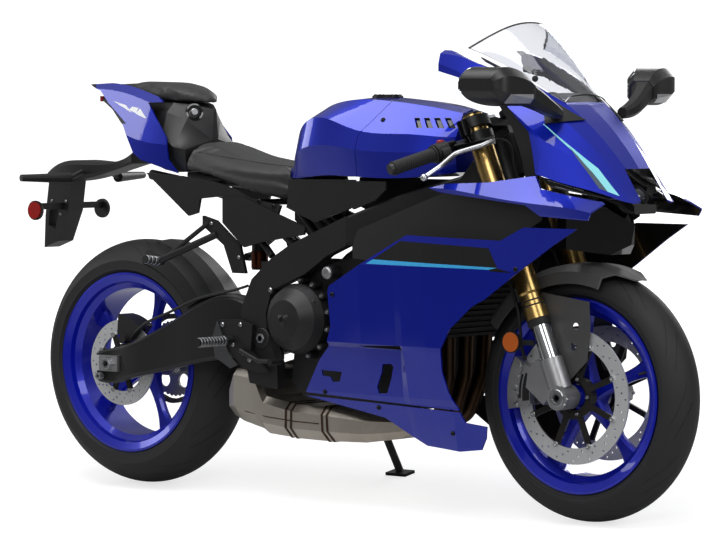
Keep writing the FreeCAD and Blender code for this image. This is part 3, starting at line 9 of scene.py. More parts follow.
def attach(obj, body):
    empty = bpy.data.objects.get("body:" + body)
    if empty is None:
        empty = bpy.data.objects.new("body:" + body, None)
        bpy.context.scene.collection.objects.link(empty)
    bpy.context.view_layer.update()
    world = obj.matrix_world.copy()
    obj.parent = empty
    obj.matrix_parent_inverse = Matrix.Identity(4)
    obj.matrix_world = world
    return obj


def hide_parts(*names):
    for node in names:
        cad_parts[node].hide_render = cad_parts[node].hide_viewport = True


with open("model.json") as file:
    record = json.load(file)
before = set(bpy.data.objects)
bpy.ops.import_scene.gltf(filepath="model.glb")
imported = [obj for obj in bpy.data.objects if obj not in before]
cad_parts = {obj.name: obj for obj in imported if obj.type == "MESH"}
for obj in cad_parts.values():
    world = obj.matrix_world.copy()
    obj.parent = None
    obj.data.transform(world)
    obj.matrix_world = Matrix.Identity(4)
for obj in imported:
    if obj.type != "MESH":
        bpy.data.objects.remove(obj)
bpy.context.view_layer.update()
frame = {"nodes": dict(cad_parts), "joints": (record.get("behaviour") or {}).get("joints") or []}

cad = frame["nodes"]

# Studio: white paper and five soft lamps. The bike leans on its stand, and the camera leans with
# it, so that the picture shows it upright as the photograph does. Points are given on the upright
# bike: forward, to its left and up, in mm.

lean = math.radians(10)
joint_places = {joint["name"]: Vector(joint["pos_m"]) for joint in frame["joints"]}
rear_hub = joint_places["rear_wheel_spin"]
upright_bike = (Matrix.Translation(rear_hub) @ Matrix.Rotation(-lean, 4, "X")
                @ Matrix.Translation((0, 0, -rear_hub.z / math.cos(lean))))
bike = upright_bike @ Matrix.Scale(0.001, 4)

camera_place, focal_length, film_width = (6.8261, -7.3242, 1.0248), 193.18, 36
yaw, pitch, roll = math.radians(39.847), math.radians(2.734), math.radians(0.062)
ahead = Vector((-math.sin(yaw) * math.cos(pitch), math.cos(yaw) * math.cos(pitch), -math.sin(pitch)))
aside = Vector((math.cos(yaw), math.sin(yaw), 0))
above = aside.cross(ahead)
aside, above = (aside * math.cos(roll) + above * math.sin(roll),
                above * math.cos(roll) - aside * math.sin(roll))
turn = Matrix((aside, above, -ahead)).transposed().to_4x4()
camera = bpy.data.objects.new("camera", bpy.data.cameras.new("camera"))
camera.data.sensor_width = film_width
camera.data.lens = focal_length
camera.data.clip_end = 60
camera.matrix_world = upright_bike @ Matrix.Translation(camera_place) @ turn
bpy.context.scene.collection.objects.link(camera)
bpy.context.scene.camera = camera
bpy.context.scene.view_settings.view_transform = "Standard"


def tint(code):
    """An sRGB hex colour as linear red, green, blue and full alpha."""
    parts = [int(code[at:at + 2], 16) / 255 for at in (0, 2, 4)]
    return tuple(part / 12.92 if part < 0.04045 else ((part + 0.055) / 1.055) ** 2.4 for part in parts) + (1,)


def feed(tree, node, inputs):
    """Set a node's inputs to values, or link them from sockets of other nodes."""
    for name, value in inputs.items():
        if isinstance(value, bpy.types.NodeSocket):
            tree.links.new(value, node.inputs[name])
        else:
            node.inputs[name].default_value = value


def add(tree, kind, inputs=None, **settings):
    """A node with its settings and its inputs."""
    made = tree.nodes.new(kind)
    for name, value in settings.items():
        setattr(made, name, value)
    feed(tree, made, inputs or {})
    return made


def finish(name, **looks):
    """A new material with one shader, whose sockets are set by name, as base_color or ior."""
    made = bpy.data.materials.new(name)
    made.use_nodes = True
    shader = made.node_tree.nodes["Principled BSDF"]
    for socket, value in looks.items():
        shader.inputs[socket.replace("_", " ").title().replace("Ior", "IOR")].default_value = value
    return made, made.node_tree, shader


mirror_share = 0.04


def white_share(tree):
    """How white the studio looks: fully to the camera and through the screen, and little in reflections."""
    ray = add(tree, "ShaderNodeLightPath")
    direct = add(tree, "ShaderNodeMath", {0: ray.outputs["Is Camera Ray"],
                                          1: ray.outputs["Is Transmission Ray"]}, operation="MAXIMUM")
    mirrored = ray.outputs["Is Glossy Ray"]
    return add(tree, "ShaderNodeMath", {0: mirrored, 1: mirror_share, 2: direct.outputs[0]},
               operation="MULTIPLY_ADD", use_clamp=True).outputs[0]


world = bpy.data.worlds.new("studio")
bpy.context.scene.world = world
world.use_nodes = True
sky = world.node_tree
sky.nodes.clear()
up = add(sky, "ShaderNodeSeparateXYZ", {0: add(sky, "ShaderNodeTexCoord").outputs["Generated"]})
rise = add(sky, "ShaderNodeMapRange", {"Value": up.outputs["Z"], "From Min": 0.0, "From Max": 0.8,
                                       "To Min": 0.04, "To Max": 0.4})
lit = add(sky, "ShaderNodeBackground", {"Color": (1, 1, 1, 1), "Strength": rise.outputs["Result"]})
white = add(sky, "ShaderNodeBackground", {"Color": (1, 1, 1, 1), "Strength": 1})
either = add(sky, "ShaderNodeMixShader", {0: white_share(sky), 1: lit.outputs[0], 2: white.outputs[0]})
add(sky, "ShaderNodeOutputWorld", {"Surface": either.outputs[0]})

# Each lamp has its place and target in mm, its width and height in metres, and its power.
for name, place, target, width, height, power in (
        ("overhead", (700, -1000, 3500), (800, 0, 600), 3.4, 2.3, 92),
        ("right side", (3000, -3600, 2500), (900, 0, 700), 2.0, 1.2, 34),
        ("front", (4600, -600, 2000), (1100, 0, 700), 1.4, 1.6, 30),
        ("left side", (200, 3800, 2200), (600, 0, 700), 3.0, 1.4, 60),
        ("rear", (-3600, -1400, 1800), (200, 0, 700), 1.6, 1.6, 30)):
    lamp = bpy.data.lights.new(name, "AREA")
    lamp.shape = "RECTANGLE"
    lamp.size, lamp.size_y, lamp.energy = width, height, power
    holder = bpy.data.objects.new(name, lamp)
    here, there = bike @ Vector(place), bike @ Vector(target)
    facing_target = (there - here).to_track_quat("-Z", "Y").to_matrix().to_4x4()
    holder.matrix_world = Matrix.Translation(here) @ facing_target
    bpy.context.scene.collection.objects.link(holder)

# The paper glows to white away from the bike, and keeps the soft shadow under it.
floor_radius, near_glow, near_edge, far_edge = 14, 0.72, 1.3, 2.6
floor_mesh = bmesh.new()
bmesh.ops.create_circle(floor_mesh, cap_ends=True, segments=64, radius=floor_radius)
floor_data = bpy.data.meshes.new("floor")
floor_mesh.to_mesh(floor_data)
floor_mesh.free()
floor = bpy.data.objects.new("floor", floor_data)
bpy.context.scene.collection.objects.link(floor)
paper, tree, shader = finish("backdrop paper", base_color=tint("b4b4b4"), roughness=0.9)
away = add(tree, "ShaderNodeVectorMath", {0: add(tree, "ShaderNodeTexCoord").outputs["Object"]},
           operation="LENGTH")
fade = add(tree, "ShaderNodeMapRange", {"Value": away.outputs["Value"], "From Min": near_edge,
                                        "From Max": far_edge, "To Min": near_glow, "To Max": 1})
strength = add(tree, "ShaderNodeMath", {0: fade.outputs["Result"], 1: white_share(tree)},
               operation="MULTIPLY")
glow = add(tree, "ShaderNodeEmission", {"Color": (1, 1, 1, 1), "Strength": strength.outputs[0]})
both = add(tree, "ShaderNodeAddShader", {0: shader.outputs[0], 1: glow.outputs[0]})
tree.links.new(both.outputs[0], tree.nodes["Material Output"].inputs["Surface"])
floor_data.materials.append(paper)

# Blue body panels: injection-moulded ABS and the steel tank, sprayed a deep metallic blue under a
# clear coat. The coat mirrors the lamps with a faint orange peel, and the inner faces stay bare black.
# The stripes are films under the coat, given by their corners: forward and up in mm. The tank cover's black
# vent shapes are painted shade in its vent slots.


def measured(tree, centre=(0, 0, 0)):
    """Where a surface lies on the upright bike, in mm from a point given there."""
    home = bike.inverted().translation - Vector(centre)
    return add(tree, "ShaderNodeMapping", {"Vector": add(tree, "ShaderNodeTexCoord").outputs["Object"],
                                           "Location": home, "Rotation": (lean, 0, 0),
                                           "Scale": (1000, 1000, 1000)}).outputs["Vector"]


def inside(tree, place, corners):
    """1 within a convex outline that runs clockwise as the bike's right side shows it, and 0 outside."""
    nearest = None
    for (x, z), (next_x, next_z) in zip(corners, corners[1:] + corners[:1]):
        inward = Vector((next_z - z, 0, x - next_x)).normalized()
        along = add(tree, "ShaderNodeVectorMath", {0: place, 1: inward}, operation="DOT_PRODUCT")
        depth = add(tree, "ShaderNodeMath", {0: along.outputs["Value"], 1: inward.dot((x, 0, z))},
                    operation="SUBTRACT").outputs[0]
        nearest = depth if nearest is None else add(tree, "ShaderNodeMath", {0: depth, 1: nearest},
                                                    operation="MINIMUM").outputs[0]
    return add(tree, "ShaderNodeMath", {0: nearest, 1: 0}, operation="GREATER_THAN").outputs[0]


def paint(name, stripes=()):
    """The blue, with stripes given as a colour and its corners."""
    made, tree, shader = finish(name, coat_weight=1.0, coat_roughness=0.02, specular_ior_level=0.2)
    here = measured(tree)
    flake = add(tree, "ShaderNodeTexNoise", {"Vector": here, "Scale": 0.8, "Detail": 2})
    colour = add(tree, "ShaderNodeMixRGB", {"Fac": flake.outputs["Fac"], "Color1": tint("001698"),
                                            "Color2": tint("0022b4")}).outputs["Color"]
    bare = 0
    for code, corners in stripes:
        film = inside(tree, here, corners)
        colour = add(tree, "ShaderNodeMixRGB", {"Fac": film, "Color1": colour,
                                                "Color2": tint(code)}).outputs["Color"]
        bare = add(tree, "ShaderNodeMath", {0: bare, 1: film}, operation="MAXIMUM").outputs[0]
    across = bike.to_3x3().normalized() @ Vector((0, 1, 0))
    side = add(tree, "ShaderNodeMath", {0: add(tree, "ShaderNodeSeparateXYZ", {0: here}).outputs["Y"]},
               operation="SIGN")
    facing = add(tree, "ShaderNodeVectorMath", {0: add(tree, "ShaderNodeTexCoord").outputs["Normal"],
                                                1: across}, operation="DOT_PRODUCT")
    outward = add(tree, "ShaderNodeMath", {0: facing.outputs["Value"], 1: side.outputs[0]},
                  operation="MULTIPLY")
    inner = add(tree, "ShaderNodeMath", {0: outward.outputs[0], 1: -0.25}, operation="LESS_THAN").outputs[0]
    colour = add(tree, "ShaderNodeMixRGB", {"Fac": inner, "Color1": colour,
                                            "Color2": tint("101011")}).outputs["Color"]
    bare = add(tree, "ShaderNodeMath", {0: bare, 1: inner}, operation="MAXIMUM").outputs[0]
    metal = add(tree, "ShaderNodeMapRange", {"Value": bare, "To Min": 0.6, "To Max": 0})
    dull = add(tree, "ShaderNodeMapRange", {"Value": flake.outputs["Fac"], "To Min": 0.3, "To Max": 0.42})
    waves = add(tree, "ShaderNodeTexNoise", {"Vector": here, "Scale": 0.25, "Detail": 1})
    peel = add(tree, "ShaderNodeBump", {"Height": waves.outputs["Fac"], "Strength": 0.04, "Distance": 0.0004})
    feed(tree, shader, {"Base Color": colour, "Metallic": metal.outputs["Result"],
                        "Roughness": dull.outputs["Result"], "Coat Normal": peel.outputs["Normal"]})
    return made


def dress(material, *names):
    """Give CAD nodes a material in every slot."""
    for name in names:
        slots = cad[name].data.materials
        slots.clear()
        slots.append(material)


cyan, pale_cyan, film_black, film_white, film_grey = "3aa6e0", "8fe0ea", "08080a", "e6e8ea", "4b5a66"
blue_paint = paint("blue paint under clear coat")
band = [(946, 614), (1028, 660), (1294, 650), (1323, 605)]
side_stripe = [(926, 603), (946, 614), (1321, 605), (1298, 600)]
trailing_line = [(1298, 600), (1321, 605), (1366, 594), (1302, 596)]
flank_paint = paint("flank paint with a black band",
                    ((film_black, band), (film_black, trailing_line), (cyan, side_stripe)))
cheek_flash = ([(1387, 938), (1387, 940), (1473, 873), (1472, 868)],
               [(1472, 868), (1473, 873), (1518, 837), (1514, 826)],
               [(1514, 826), (1518, 837), (1573, 774), (1551, 784)])
cheek_shade = ([(1450, 889), (1514, 826), (1504, 827)], [(1504, 827), (1514, 826), (1551, 784), (1534, 791)])
nose_paint = paint("nose paint with a pale flash", [(pale_cyan, corners) for corners in cheek_flash]
                   + [(film_grey, corners) for corners in cheek_shade])
slashes = ([(-47, 988), (10, 977), (34, 958), (18, 964)], [(22, 965), (36, 974), (62, 970), (52, 957)],
           [(50, 956), (68, 969), (97, 943), (84, 946)])
tail_paint = paint("tail paint with white slashes", [(film_white, corners) for corners in slashes])
# Painted shade: black slanted shapes over the tank cover's vent slots, for the shade in them.
painted_vent_shadows = [[(x, 951), (x + 13, 951), (x + 32, 926), (x + 18, 926)] for x in range(966, 1036, 23)]
cover_paint = paint("tank cover paint with black vents", [(film_black, corners) for corners in painted_vent_shadows])
dress(blue_paint, "lower_fairings", "wing_panels", "fuel_tank")
dress(cover_paint, "tank_cover")
dress(flank_paint, "fairing_left", "fairing_right")
dress(nose_paint, "nose_cowl")
dress(tail_paint, "tail_cowl")

# The panels' screws: steel button heads, blackened, that hold the skins to their brackets. Each
# stands on the skin where a line from the bike's side meets it.


def surface(name, colour, shade, grain, rough, spread, depth, patch=60, **looks):
    """A finish whose grain, as wide as given in mm, lifts the surface by a depth in mm.

    The grain moves its roughness too. Its colour drifts to a shade over wider patches, as casting
    and handling leave it.
    """
    made, tree, shader = finish(name, **looks)
    place = add(tree, "ShaderNodeTexCoord").outputs["Object"]
    fine = add(tree, "ShaderNodeTexNoise", {"Vector": place, "Scale": 1000 / grain, "Detail": 3})
    wide = add(tree, "ShaderNodeTexNoise", {"Vector": place, "Scale": 1000 / patch, "Detail": 2})
    drift = add(tree, "ShaderNodeMixRGB", {"Fac": wide.outputs["Fac"], "Color1": tint(colour),
                                           "Color2": tint(shade)})
    dull = add(tree, "ShaderNodeMapRange", {"Value": fine.outputs["Fac"], "From Min": 0.3, "From Max": 0.7,
                                            "To Min": rough - spread, "To Max": rough + spread})
    relief = add(tree, "ShaderNodeBump", {"Height": fine.outputs["Fac"], "Distance": depth / 1000})
    feed(tree, shader, {"Base Color": drift.outputs["Color"], "Roughness": dull.outputs["Result"],
                        "Normal": relief.outputs["Normal"]})
    return made


def aim(place, way):
    """The turn and shift that stand a shape's own Z along a way, with its foot at a place."""
    return Matrix.Translation(place) @ Vector(way).to_track_quat("Z", "Y").to_matrix().to_4x4()


def turned(shape, section, where, steps=24):
    """Turn a closed section of radius and height about Z, then put it where it belongs."""
    before = set(shape.verts)
    ring = [shape.verts.new((radius, 0, height)) for radius, height in section]
    sides = [shape.edges.new((ring[at - 1], ring[at])) for at in range(len(ring))
             if section[at - 1][0] or section[at][0]]
    bmesh.ops.spin(shape, geom=ring + sides, axis=(0, 0, 1), cent=(0, 0, 0), angle=math.tau, steps=steps,
                   use_merge=True)
    made = [vert for vert in shape.verts if vert not in before]
    bmesh.ops.transform(shape, matrix=where, verts=made)
    bmesh.ops.remove_doubles(shape, verts=made, dist=0.0001)


def piece(name, shape, material, body, where=bike, soft_angle=32):
    """Make a shape that is measured in mm a finished piece, and let it ride a body."""
    bmesh.ops.recalc_face_normals(shape, faces=shape.faces)
    shape.transform(where)
    mesh = bpy.data.meshes.new(name)
    shape.to_mesh(mesh)
    shape.free()
    mesh.materials.append(material)
    mesh.shade_smooth()
    mesh.set_sharp_from_angle(angle=math.radians(soft_angle))
    made = bpy.data.objects.new(name, mesh)
    bpy.context.scene.collection.objects.link(made)
    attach(made, body)
    return made


skins = {}


def meet(node, start, way, lift=0):
    """Where a line meets a node or piece, lifted off it in mm, and the way its surface faces there.

    A line that misses gives nothing.
    """
    if node not in skins:
        mesh = bpy.data.objects[node].data if node not in cad else cad[node].data
        home = bike.inverted()
        skins[node] = BVHTree.FromPolygons([home @ vert.co for vert in mesh.vertices],
                                           [face.vertices[:] for face in mesh.polygons])
    place, facing, _, _ = skins[node].ray_cast(Vector(start), Vector(way))
    return (place + facing * lift if place else None), facing


def screw(shape, place, way, radius, height=3.5, steps=20):
    """A button head with a round socket."""
    socket, rim = radius * 0.42, height * 0.45
    section = [(0, rim), (socket, rim), (socket, height), (radius * 0.7, height), (radius, rim),
               (radius, -1), (0, -1)]
    turned(shape, section, aim(place, way), steps)


def screw_on(shape, node, x, z, side, radius, height=3.5, steps=20, out=500):
    """A screw where a line that comes in from this far out to a side meets a node."""
    place, facing = meet(node, (x, side * out, z), (0, -side, 0))
    screw(shape, place, facing, radius, height, steps)


both_sides = ((-1, "right"), (1, "left"))
black_steel = surface("blackened steel", "1c1c1e", "2a2a2c", 0.5, 0.4, 0.08, 0.03, metallic=0.8)
heads = bmesh.new()
for side, word in both_sides:
    for node, spots in (("fairing_" + word, ((809, 525), (751, 284), (1376, 603))),
                        ("lower_fairings", ((919, 255), (1150, 206))),
                        ("tank_cover", ((885, 945),)),
                        ("side_covers", ((547, 730), (500, 742)))):
        for x, z in spots:
            screw_on(heads, node, x, z, side, 6)
piece("panel_screws", heads, black_steel, "chassis")

# Black trim: moulded polypropylene with a spark-eroded grain, a little polished where boots rub.
# The duct, the lamp slits and the instrument's case are polished instead. The fender is painted grey as
# painted light, for the lamps on its black side plates.

black_trim = surface("grained black plastic", "0d0d0e", "131314", 1.0, 0.46, 0.06, 0.08)
satin_trim = surface("satin black plastic", "151516", "1b1b1c", 0.8, 0.38, 0.05, 0.04)
# Painted light: the fender's black plastic is drawn a lighter grey all over, as its side plates look under
# the lamps.
lit_fender_grey = surface("fender plastic painted lit grey", "464647", "515152", 0.8, 0.42, 0.05, 0.05)
gloss_black = surface("polished black plastic", "09090b", "0e0e10", 3.0, 0.12, 0.04, 0.01, coat_weight=0.6)
dress(black_trim, "tail_centre", "plate_bracket", "rear_hugger", "switch_pods", "rear_indicators",
      "inner_panels")
dress(satin_trim, "side_covers", "mirrors")
dress(lit_fender_grey, "front_fender")
dress(gloss_black, "nose_duct", "headlamps", "instrument")

# Frame, swingarm, clamps and stand: cast and forged aluminium, powder-coated satin black. The
# powder leaves a fine, even pebble that softens every reflection.

black_alloy = surface("powder-coated aluminium", "1b1b1c", "232324", 1.2, 0.42, 0.06, 0.05, metallic=0.25)
dress(black_alloy, "frame", "subframe", "swingarm", "top_yoke", "bottom_yoke", "clip_ons",
      "rider_footrests", "passenger_footrests", "side_stand", "fuel_cap")

# Bright fasteners on the frame: the swingarm's pivot nut in its dark washer, and the bolts of the
# engine mounts and footrest plates. Zinc-plated steel.

plated = surface("zinc-plated steel", "b9babc", "9a9b9e", 0.6, 0.3, 0.08, 0.02, metallic=1.0)
frame_side, washer, pivot_washer = 158, 1.5, 4
pivot, mount = Vector((528, 0, 404)), Vector((558, 0, 524))
washers, nuts = bmesh.new(), bmesh.new()
for side in (-1, 1):
    outward = Vector((0, side, 0))
    turned(washers, [(14.5, 0), (26, 0), (26, 2), (24, 3.5), (14.5, 3.5)],
           aim(pivot + outward * frame_side, outward), 40)
    turned(nuts, [(7.5, 0), (13, 0), (13, 3), (12, 4), (7.5, 4)],
           aim(pivot + outward * (frame_side + pivot_washer), outward), 6)
    turned(washers, [(0, 0), (10, 0), (10, washer), (0, washer)], aim(mount + outward * frame_side, outward))
    screw(nuts, mount + outward * (frame_side + washer), outward, 6.5, 4)
    for x, z in ((411, 434), (470, 436), (445, 386), (480, 366), (500, 350)):
        screw_on(nuts, "rider_footrests", x, z, side, 6, 4, out=240)
    for x, z in ((330, 682), (422, 600)):
        screw_on(nuts, "passenger_footrests", x, z, side, 5, 3, out=240)
piece("pivot_washers", washers, black_trim, "chassis")
piece("frame_bolts", nuts, plated, "chassis")

# Engine castings: pressure die-cast aluminium, painted dark grey. The covers' screws sit in lugs
# round their edges, and a grey cap closes the oil filler.


def rod(shape, start, stop, radius, far_radius=None, steps=20):
    """A round bar between two points."""
    run = Vector(stop) - Vector(start)
    far_radius = radius if far_radius is None else far_radius
    turned(shape, [(0, 0), (radius, 0), (far_radius, run.length), (0, run.length)], aim(start, run), steps)


def spoke(angle, reach=1):
    """A step away from a hub, at an angle up from straight ahead."""
    return Vector((math.cos(angle), 0, math.sin(angle))) * reach


engine_coat = surface("painted engine castings", "202021", "2a2a2c", 1.5, 0.44, 0.07, 0.1, metallic=0.35)
dress(engine_coat, "engine", "engine_covers")
grey_cast = surface("grey cast aluminium", "acacae", "98989b", 1.2, 0.4, 0.07, 0.06, metallic=0.85)
engine_side, lug_radius, filler = 118, 9, (738, -154, 572)
lugs, heads = bmesh.new(), bmesh.new()
for side, centre, reach, cover_depth, angles in (
        (-1, Vector((638, 0, 456)), 95, 30, (86, 62, 38, 12, -14, -44, -70)),
        (1, Vector((812, 0, 420)), 79, 24, range(0, 360, 45))):
    outward = Vector((0, side, 0))
    for angle in angles:
        foot = centre + spoke(math.radians(angle), reach) + outward * engine_side
        rod(lugs, foot - outward * 4, foot + outward * cover_depth, lug_radius)
        screw(heads, foot + outward * cover_depth, outward, 5.5, 5)
piece("cover_lugs", lugs, engine_coat, "chassis")
piece("cover_screws", heads, plated, "chassis")
cap = bmesh.new()
turned(cap, [(0, 0), (15, 0), (15, 5), (11, 8), (4, 8), (4, 6), (0, 6)], aim(filler, (0, -1, 0)), 32)
piece("oil_filler_cap", cap, grey_cast, "chassis")

# Exhaust: hand-welded stainless headers, browned by heat, and a brushed box whose seam and straps
# are darker where the weld ran.


def heated(name, cool, hot, low_x, high_x):
    """Stainless steel whose heat tint deepens from one place along the bike to another."""
    made, tree, shader = finish(name, metallic=1.0)
    here = measured(tree)
    forward = add(tree, "ShaderNodeSeparateXYZ", {0: here}).outputs["X"]
    along = add(tree, "ShaderNodeMapRange", {"Value": forward, "From Min": low_x, "From Max": high_x})
    cloud = add(tree, "ShaderNodeTexNoise", {"Vector": here, "Scale": 0.02, "Detail": 4})
    share = add(tree, "ShaderNodeMath", {0: along.outputs["Result"], 1: cloud.outputs["Fac"]},
                operation="MULTIPLY")
    stretched = add(tree, "ShaderNodeMapping", {"Vector": here, "Scale": (0.02, 0.6, 0.6)})
    brushed = add(tree, "ShaderNodeTexNoise", {"Vector": stretched.outputs["Vector"], "Scale": 1,
                                               "Detail": 3})
    colour = add(tree, "ShaderNodeMixRGB", {"Fac": share.outputs[0], "Color1": tint(cool),
                                            "Color2": tint(hot)})
    dull = add(tree, "ShaderNodeMapRange", {"Value": brushed.outputs["Fac"], "To Min": 0.24, "To Max": 0.5})
    relief = add(tree, "ShaderNodeBump", {"Height": brushed.outputs["Fac"], "Distance": 0.00008})
    feed(tree, shader, {"Base Color": colour.outputs["Color"], "Roughness": dull.outputs["Result"],
                        "Normal": relief.outputs["Normal"]})
    return made


def cut_copy(node, planes, lift):
    """A merged copy of a CAD node's skin in mm, cut off beyond each plane and lifted outwards."""
    shape = bmesh.new()
    shape.from_mesh(cad[node].data)
    shape.transform(bike.inverted())
    bmesh.ops.remove_doubles(shape, verts=shape.verts, dist=0.01)
    for place, way in planes:
        bmesh.ops.bisect_plane(shape, geom=shape.verts[:] + shape.edges[:] + shape.faces[:], plane_co=place,
                               plane_no=way, clear_outer=True, dist=0.001)
    shape.normal_update()
    for vert in shape.verts:
        vert.co += vert.normal * lift
    return shape


dress(heated("brushed stainless box", "d4cec4", "9a8672", 300, 1100), "muffler")
dress(heated("heat-tinted headers", "4c3a2c", "2a211c", 950, 1090), "exhaust_headers")
weld_steel = heated("browned welds", "5c4a3c", "3a2c24", 300, 900)
strap_width, strap_wall, weld_radius, box_height = 5, 1.6, 1.6, 200
seam = ((366, 236), (440, 216), (520, 206), (600, 200), (680, 198))
welds = bmesh.new()
for x, slant in ((575, 0.02), (592, 0.02), (690, -0.06), (704, -0.06)):
    strap = cut_copy("muffler", (((x - strap_width / 2, 0, box_height), (-1, 0, slant)),
                                 ((x + strap_width / 2, 0, box_height), (1, 0, -slant))), 0.2)
    bmesh.ops.solidify(strap, geom=strap.faces[:], thickness=-strap_wall)
    scratch = bpy.data.meshes.new("strap")
    strap.to_mesh(scratch)
    strap.free()
    welds.from_mesh(scratch)
    bpy.data.meshes.remove(scratch)
for side in (-1, 1):
    spots = [meet("muffler", (x, side * 300, z), (0, -side, 0), 0.4)[0] for x, z in seam]
    for start, stop in zip(spots, spots[1:]):
        rod(welds, start, stop, weld_radius, steps=8)
piece("muffler_welds", welds, weld_steel, "chassis")

# Brake hoses and grips: moulded rubber. The hoses are smooth, and the grips have fine ribs round
# them that show as soft light and dark rings.


def ribbed(name, colour, pitch, depth, **looks):
    """A finish with ribs side by side across the bike, whose pitch and depth are in mm."""
    made, tree, shader = finish(name, base_color=tint(colour), **looks)
    across = add(tree, "ShaderNodeSeparateXYZ", {0: measured(tree)}).outputs["Y"]
    turns = add(tree, "ShaderNodeMath", {0: across, 1: math.tau / pitch}, operation="MULTIPLY")
    wave = add(tree, "ShaderNodeMath", {0: turns.outputs[0]}, operation="SINE")
    relief = add(tree, "ShaderNodeBump", {"Height": wave.outputs[0], "Distance": depth / 1000})
    feed(tree, shader, {"Normal": relief.outputs["Normal"]})
    return made


rubber = surface("moulded rubber", "151516", "1c1c1d", 0.8, 0.62, 0.06, 0.06)
dress(rubber, "brake_hoses")
dress(ribbed("ribbed grip rubber", "131314", 5, 0.6, roughness=0.6), "grips")

# Tyres: soft vulcanised rubber over a radial carcass. Curved rain grooves run from beside the crown
# out to the shoulder, and the mould leaves fine rings on the walls.

front_hub = bike.inverted() @ joint_places["front_wheel_spin"]
rear_hub_mm = bike.inverted() @ rear_hub


def from_axle(tree, here):
    """How far from a wheel's axle a place lies in mm, from its parts about the hub."""
    flat = add(tree, "ShaderNodeCombineXYZ", {"X": here.outputs["X"], "Y": here.outputs["Z"]})
    return add(tree, "ShaderNodeVectorMath", {0: flat.outputs["Vector"]}, operation="LENGTH").outputs["Value"]


def tread(name, hub, radius, half_width, pairs):
    """Tyre rubber with slanted grooves, mirrored about the crown and coloured darker as painted shade, and
    moulded rings on its walls.
    """
    made, tree, shader = finish(name)
    here = add(tree, "ShaderNodeSeparateXYZ", {0: measured(tree, hub)})
    x, y, z = (here.outputs[axis] for axis in "XYZ")
    angle = add(tree, "ShaderNodeMath", {0: z, 1: x}, operation="ARCTAN2").outputs[0]
    off_centre = add(tree, "ShaderNodeMath", {0: y}, operation="ABSOLUTE").outputs[0]
    share = add(tree, "ShaderNodeMath", {0: off_centre, 1: half_width}, operation="DIVIDE").outputs[0]
    bow = add(tree, "ShaderNodeMath", {0: share, 1: 1.7}, operation="POWER").outputs[0]
    stagger = add(tree, "ShaderNodeMath", {0: y, 1: 0}, operation="GREATER_THAN").outputs[0]
    shift = add(tree, "ShaderNodeMath", {0: stagger, 1: 0.5, 2: bow}, operation="MULTIPLY_ADD").outputs[0]
    phase = add(tree, "ShaderNodeMath", {0: angle, 1: pairs / math.tau, 2: shift},
                operation="MULTIPLY_ADD").outputs[0]
    cycle = add(tree, "ShaderNodeMath", {0: phase}, operation="FRACT").outputs[0]
    groove = None
    for low, high, near, far in ((0.0, 0.055, 0.16, 0.72), (0.42, 0.465, 0.4, 0.86)):
        cut = None
        for value, bound, test in ((cycle, low, "GREATER_THAN"), (cycle, high, "LESS_THAN"),
                                   (share, near, "GREATER_THAN"), (share, far, "LESS_THAN")):
            passed = add(tree, "ShaderNodeMath", {0: value, 1: bound}, operation=test).outputs[0]
            cut = passed if cut is None else add(tree, "ShaderNodeMath", {0: cut, 1: passed},
                                                 operation="MULTIPLY").outputs[0]
        groove = cut if groove is None else add(tree, "ShaderNodeMath", {0: cut, 1: groove},
                                                operation="MAXIMUM").outputs[0]
    reach = from_axle(tree, here)
    crown = add(tree, "ShaderNodeMath", {0: reach, 1: radius - 0.82 * half_width},
                operation="GREATER_THAN").outputs[0]
    groove = add(tree, "ShaderNodeMath", {0: groove, 1: crown}, operation="MULTIPLY").outputs[0]
    outwards = add(tree, "ShaderNodeMath", {0: reach, 1: 0.9}, operation="MULTIPLY").outputs[0]
    moulded = add(tree, "ShaderNodeMath", {0: outwards}, operation="SINE").outputs[0]
    rings = add(tree, "ShaderNodeMapRange", {"Value": crown, "To Min": 0.12, "To Max": 0}).outputs["Result"]
    walls = add(tree, "ShaderNodeMath", {0: moulded, 1: rings}, operation="MULTIPLY").outputs[0]
    grain = add(tree, "ShaderNodeTexNoise", {"Vector": measured(tree), "Scale": 0.9,
                                             "Detail": 3}).outputs["Fac"]
    sunk = add(tree, "ShaderNodeMath", {0: groove, 1: -1, 2: walls}, operation="MULTIPLY_ADD").outputs[0]
    height = add(tree, "ShaderNodeMath", {0: grain, 1: 0.08, 2: sunk}, operation="MULTIPLY_ADD").outputs[0]
    relief = add(tree, "ShaderNodeBump", {"Height": height, "Distance": 0.003})
    # Painted shade: the grooves are only a bump, so their colour is made near black for the shade in them.
    colour = add(tree, "ShaderNodeMixRGB", {"Fac": groove, "Color1": tint("1c1c1e"),
                                            "Color2": tint("050505")})
    dull = add(tree, "ShaderNodeMapRange", {"Value": grain, "To Min": 0.5, "To Max": 0.78})
    feed(tree, shader, {"Base Color": colour.outputs["Color"], "Roughness": dull.outputs["Result"],
                        "Normal": relief.outputs["Normal"]})
    return made


dress(tread("front tyre rubber", front_hub, 300, 60, 11), "front_tyre")
dress(tread("rear tyre rubber", rear_hub_mm, 315, 90, 12), "rear_tyre")

# Wheels: gravity-cast aluminium, enamelled blue over fine metal flake. Each rim has a rubber valve
# that is bent to its right side.

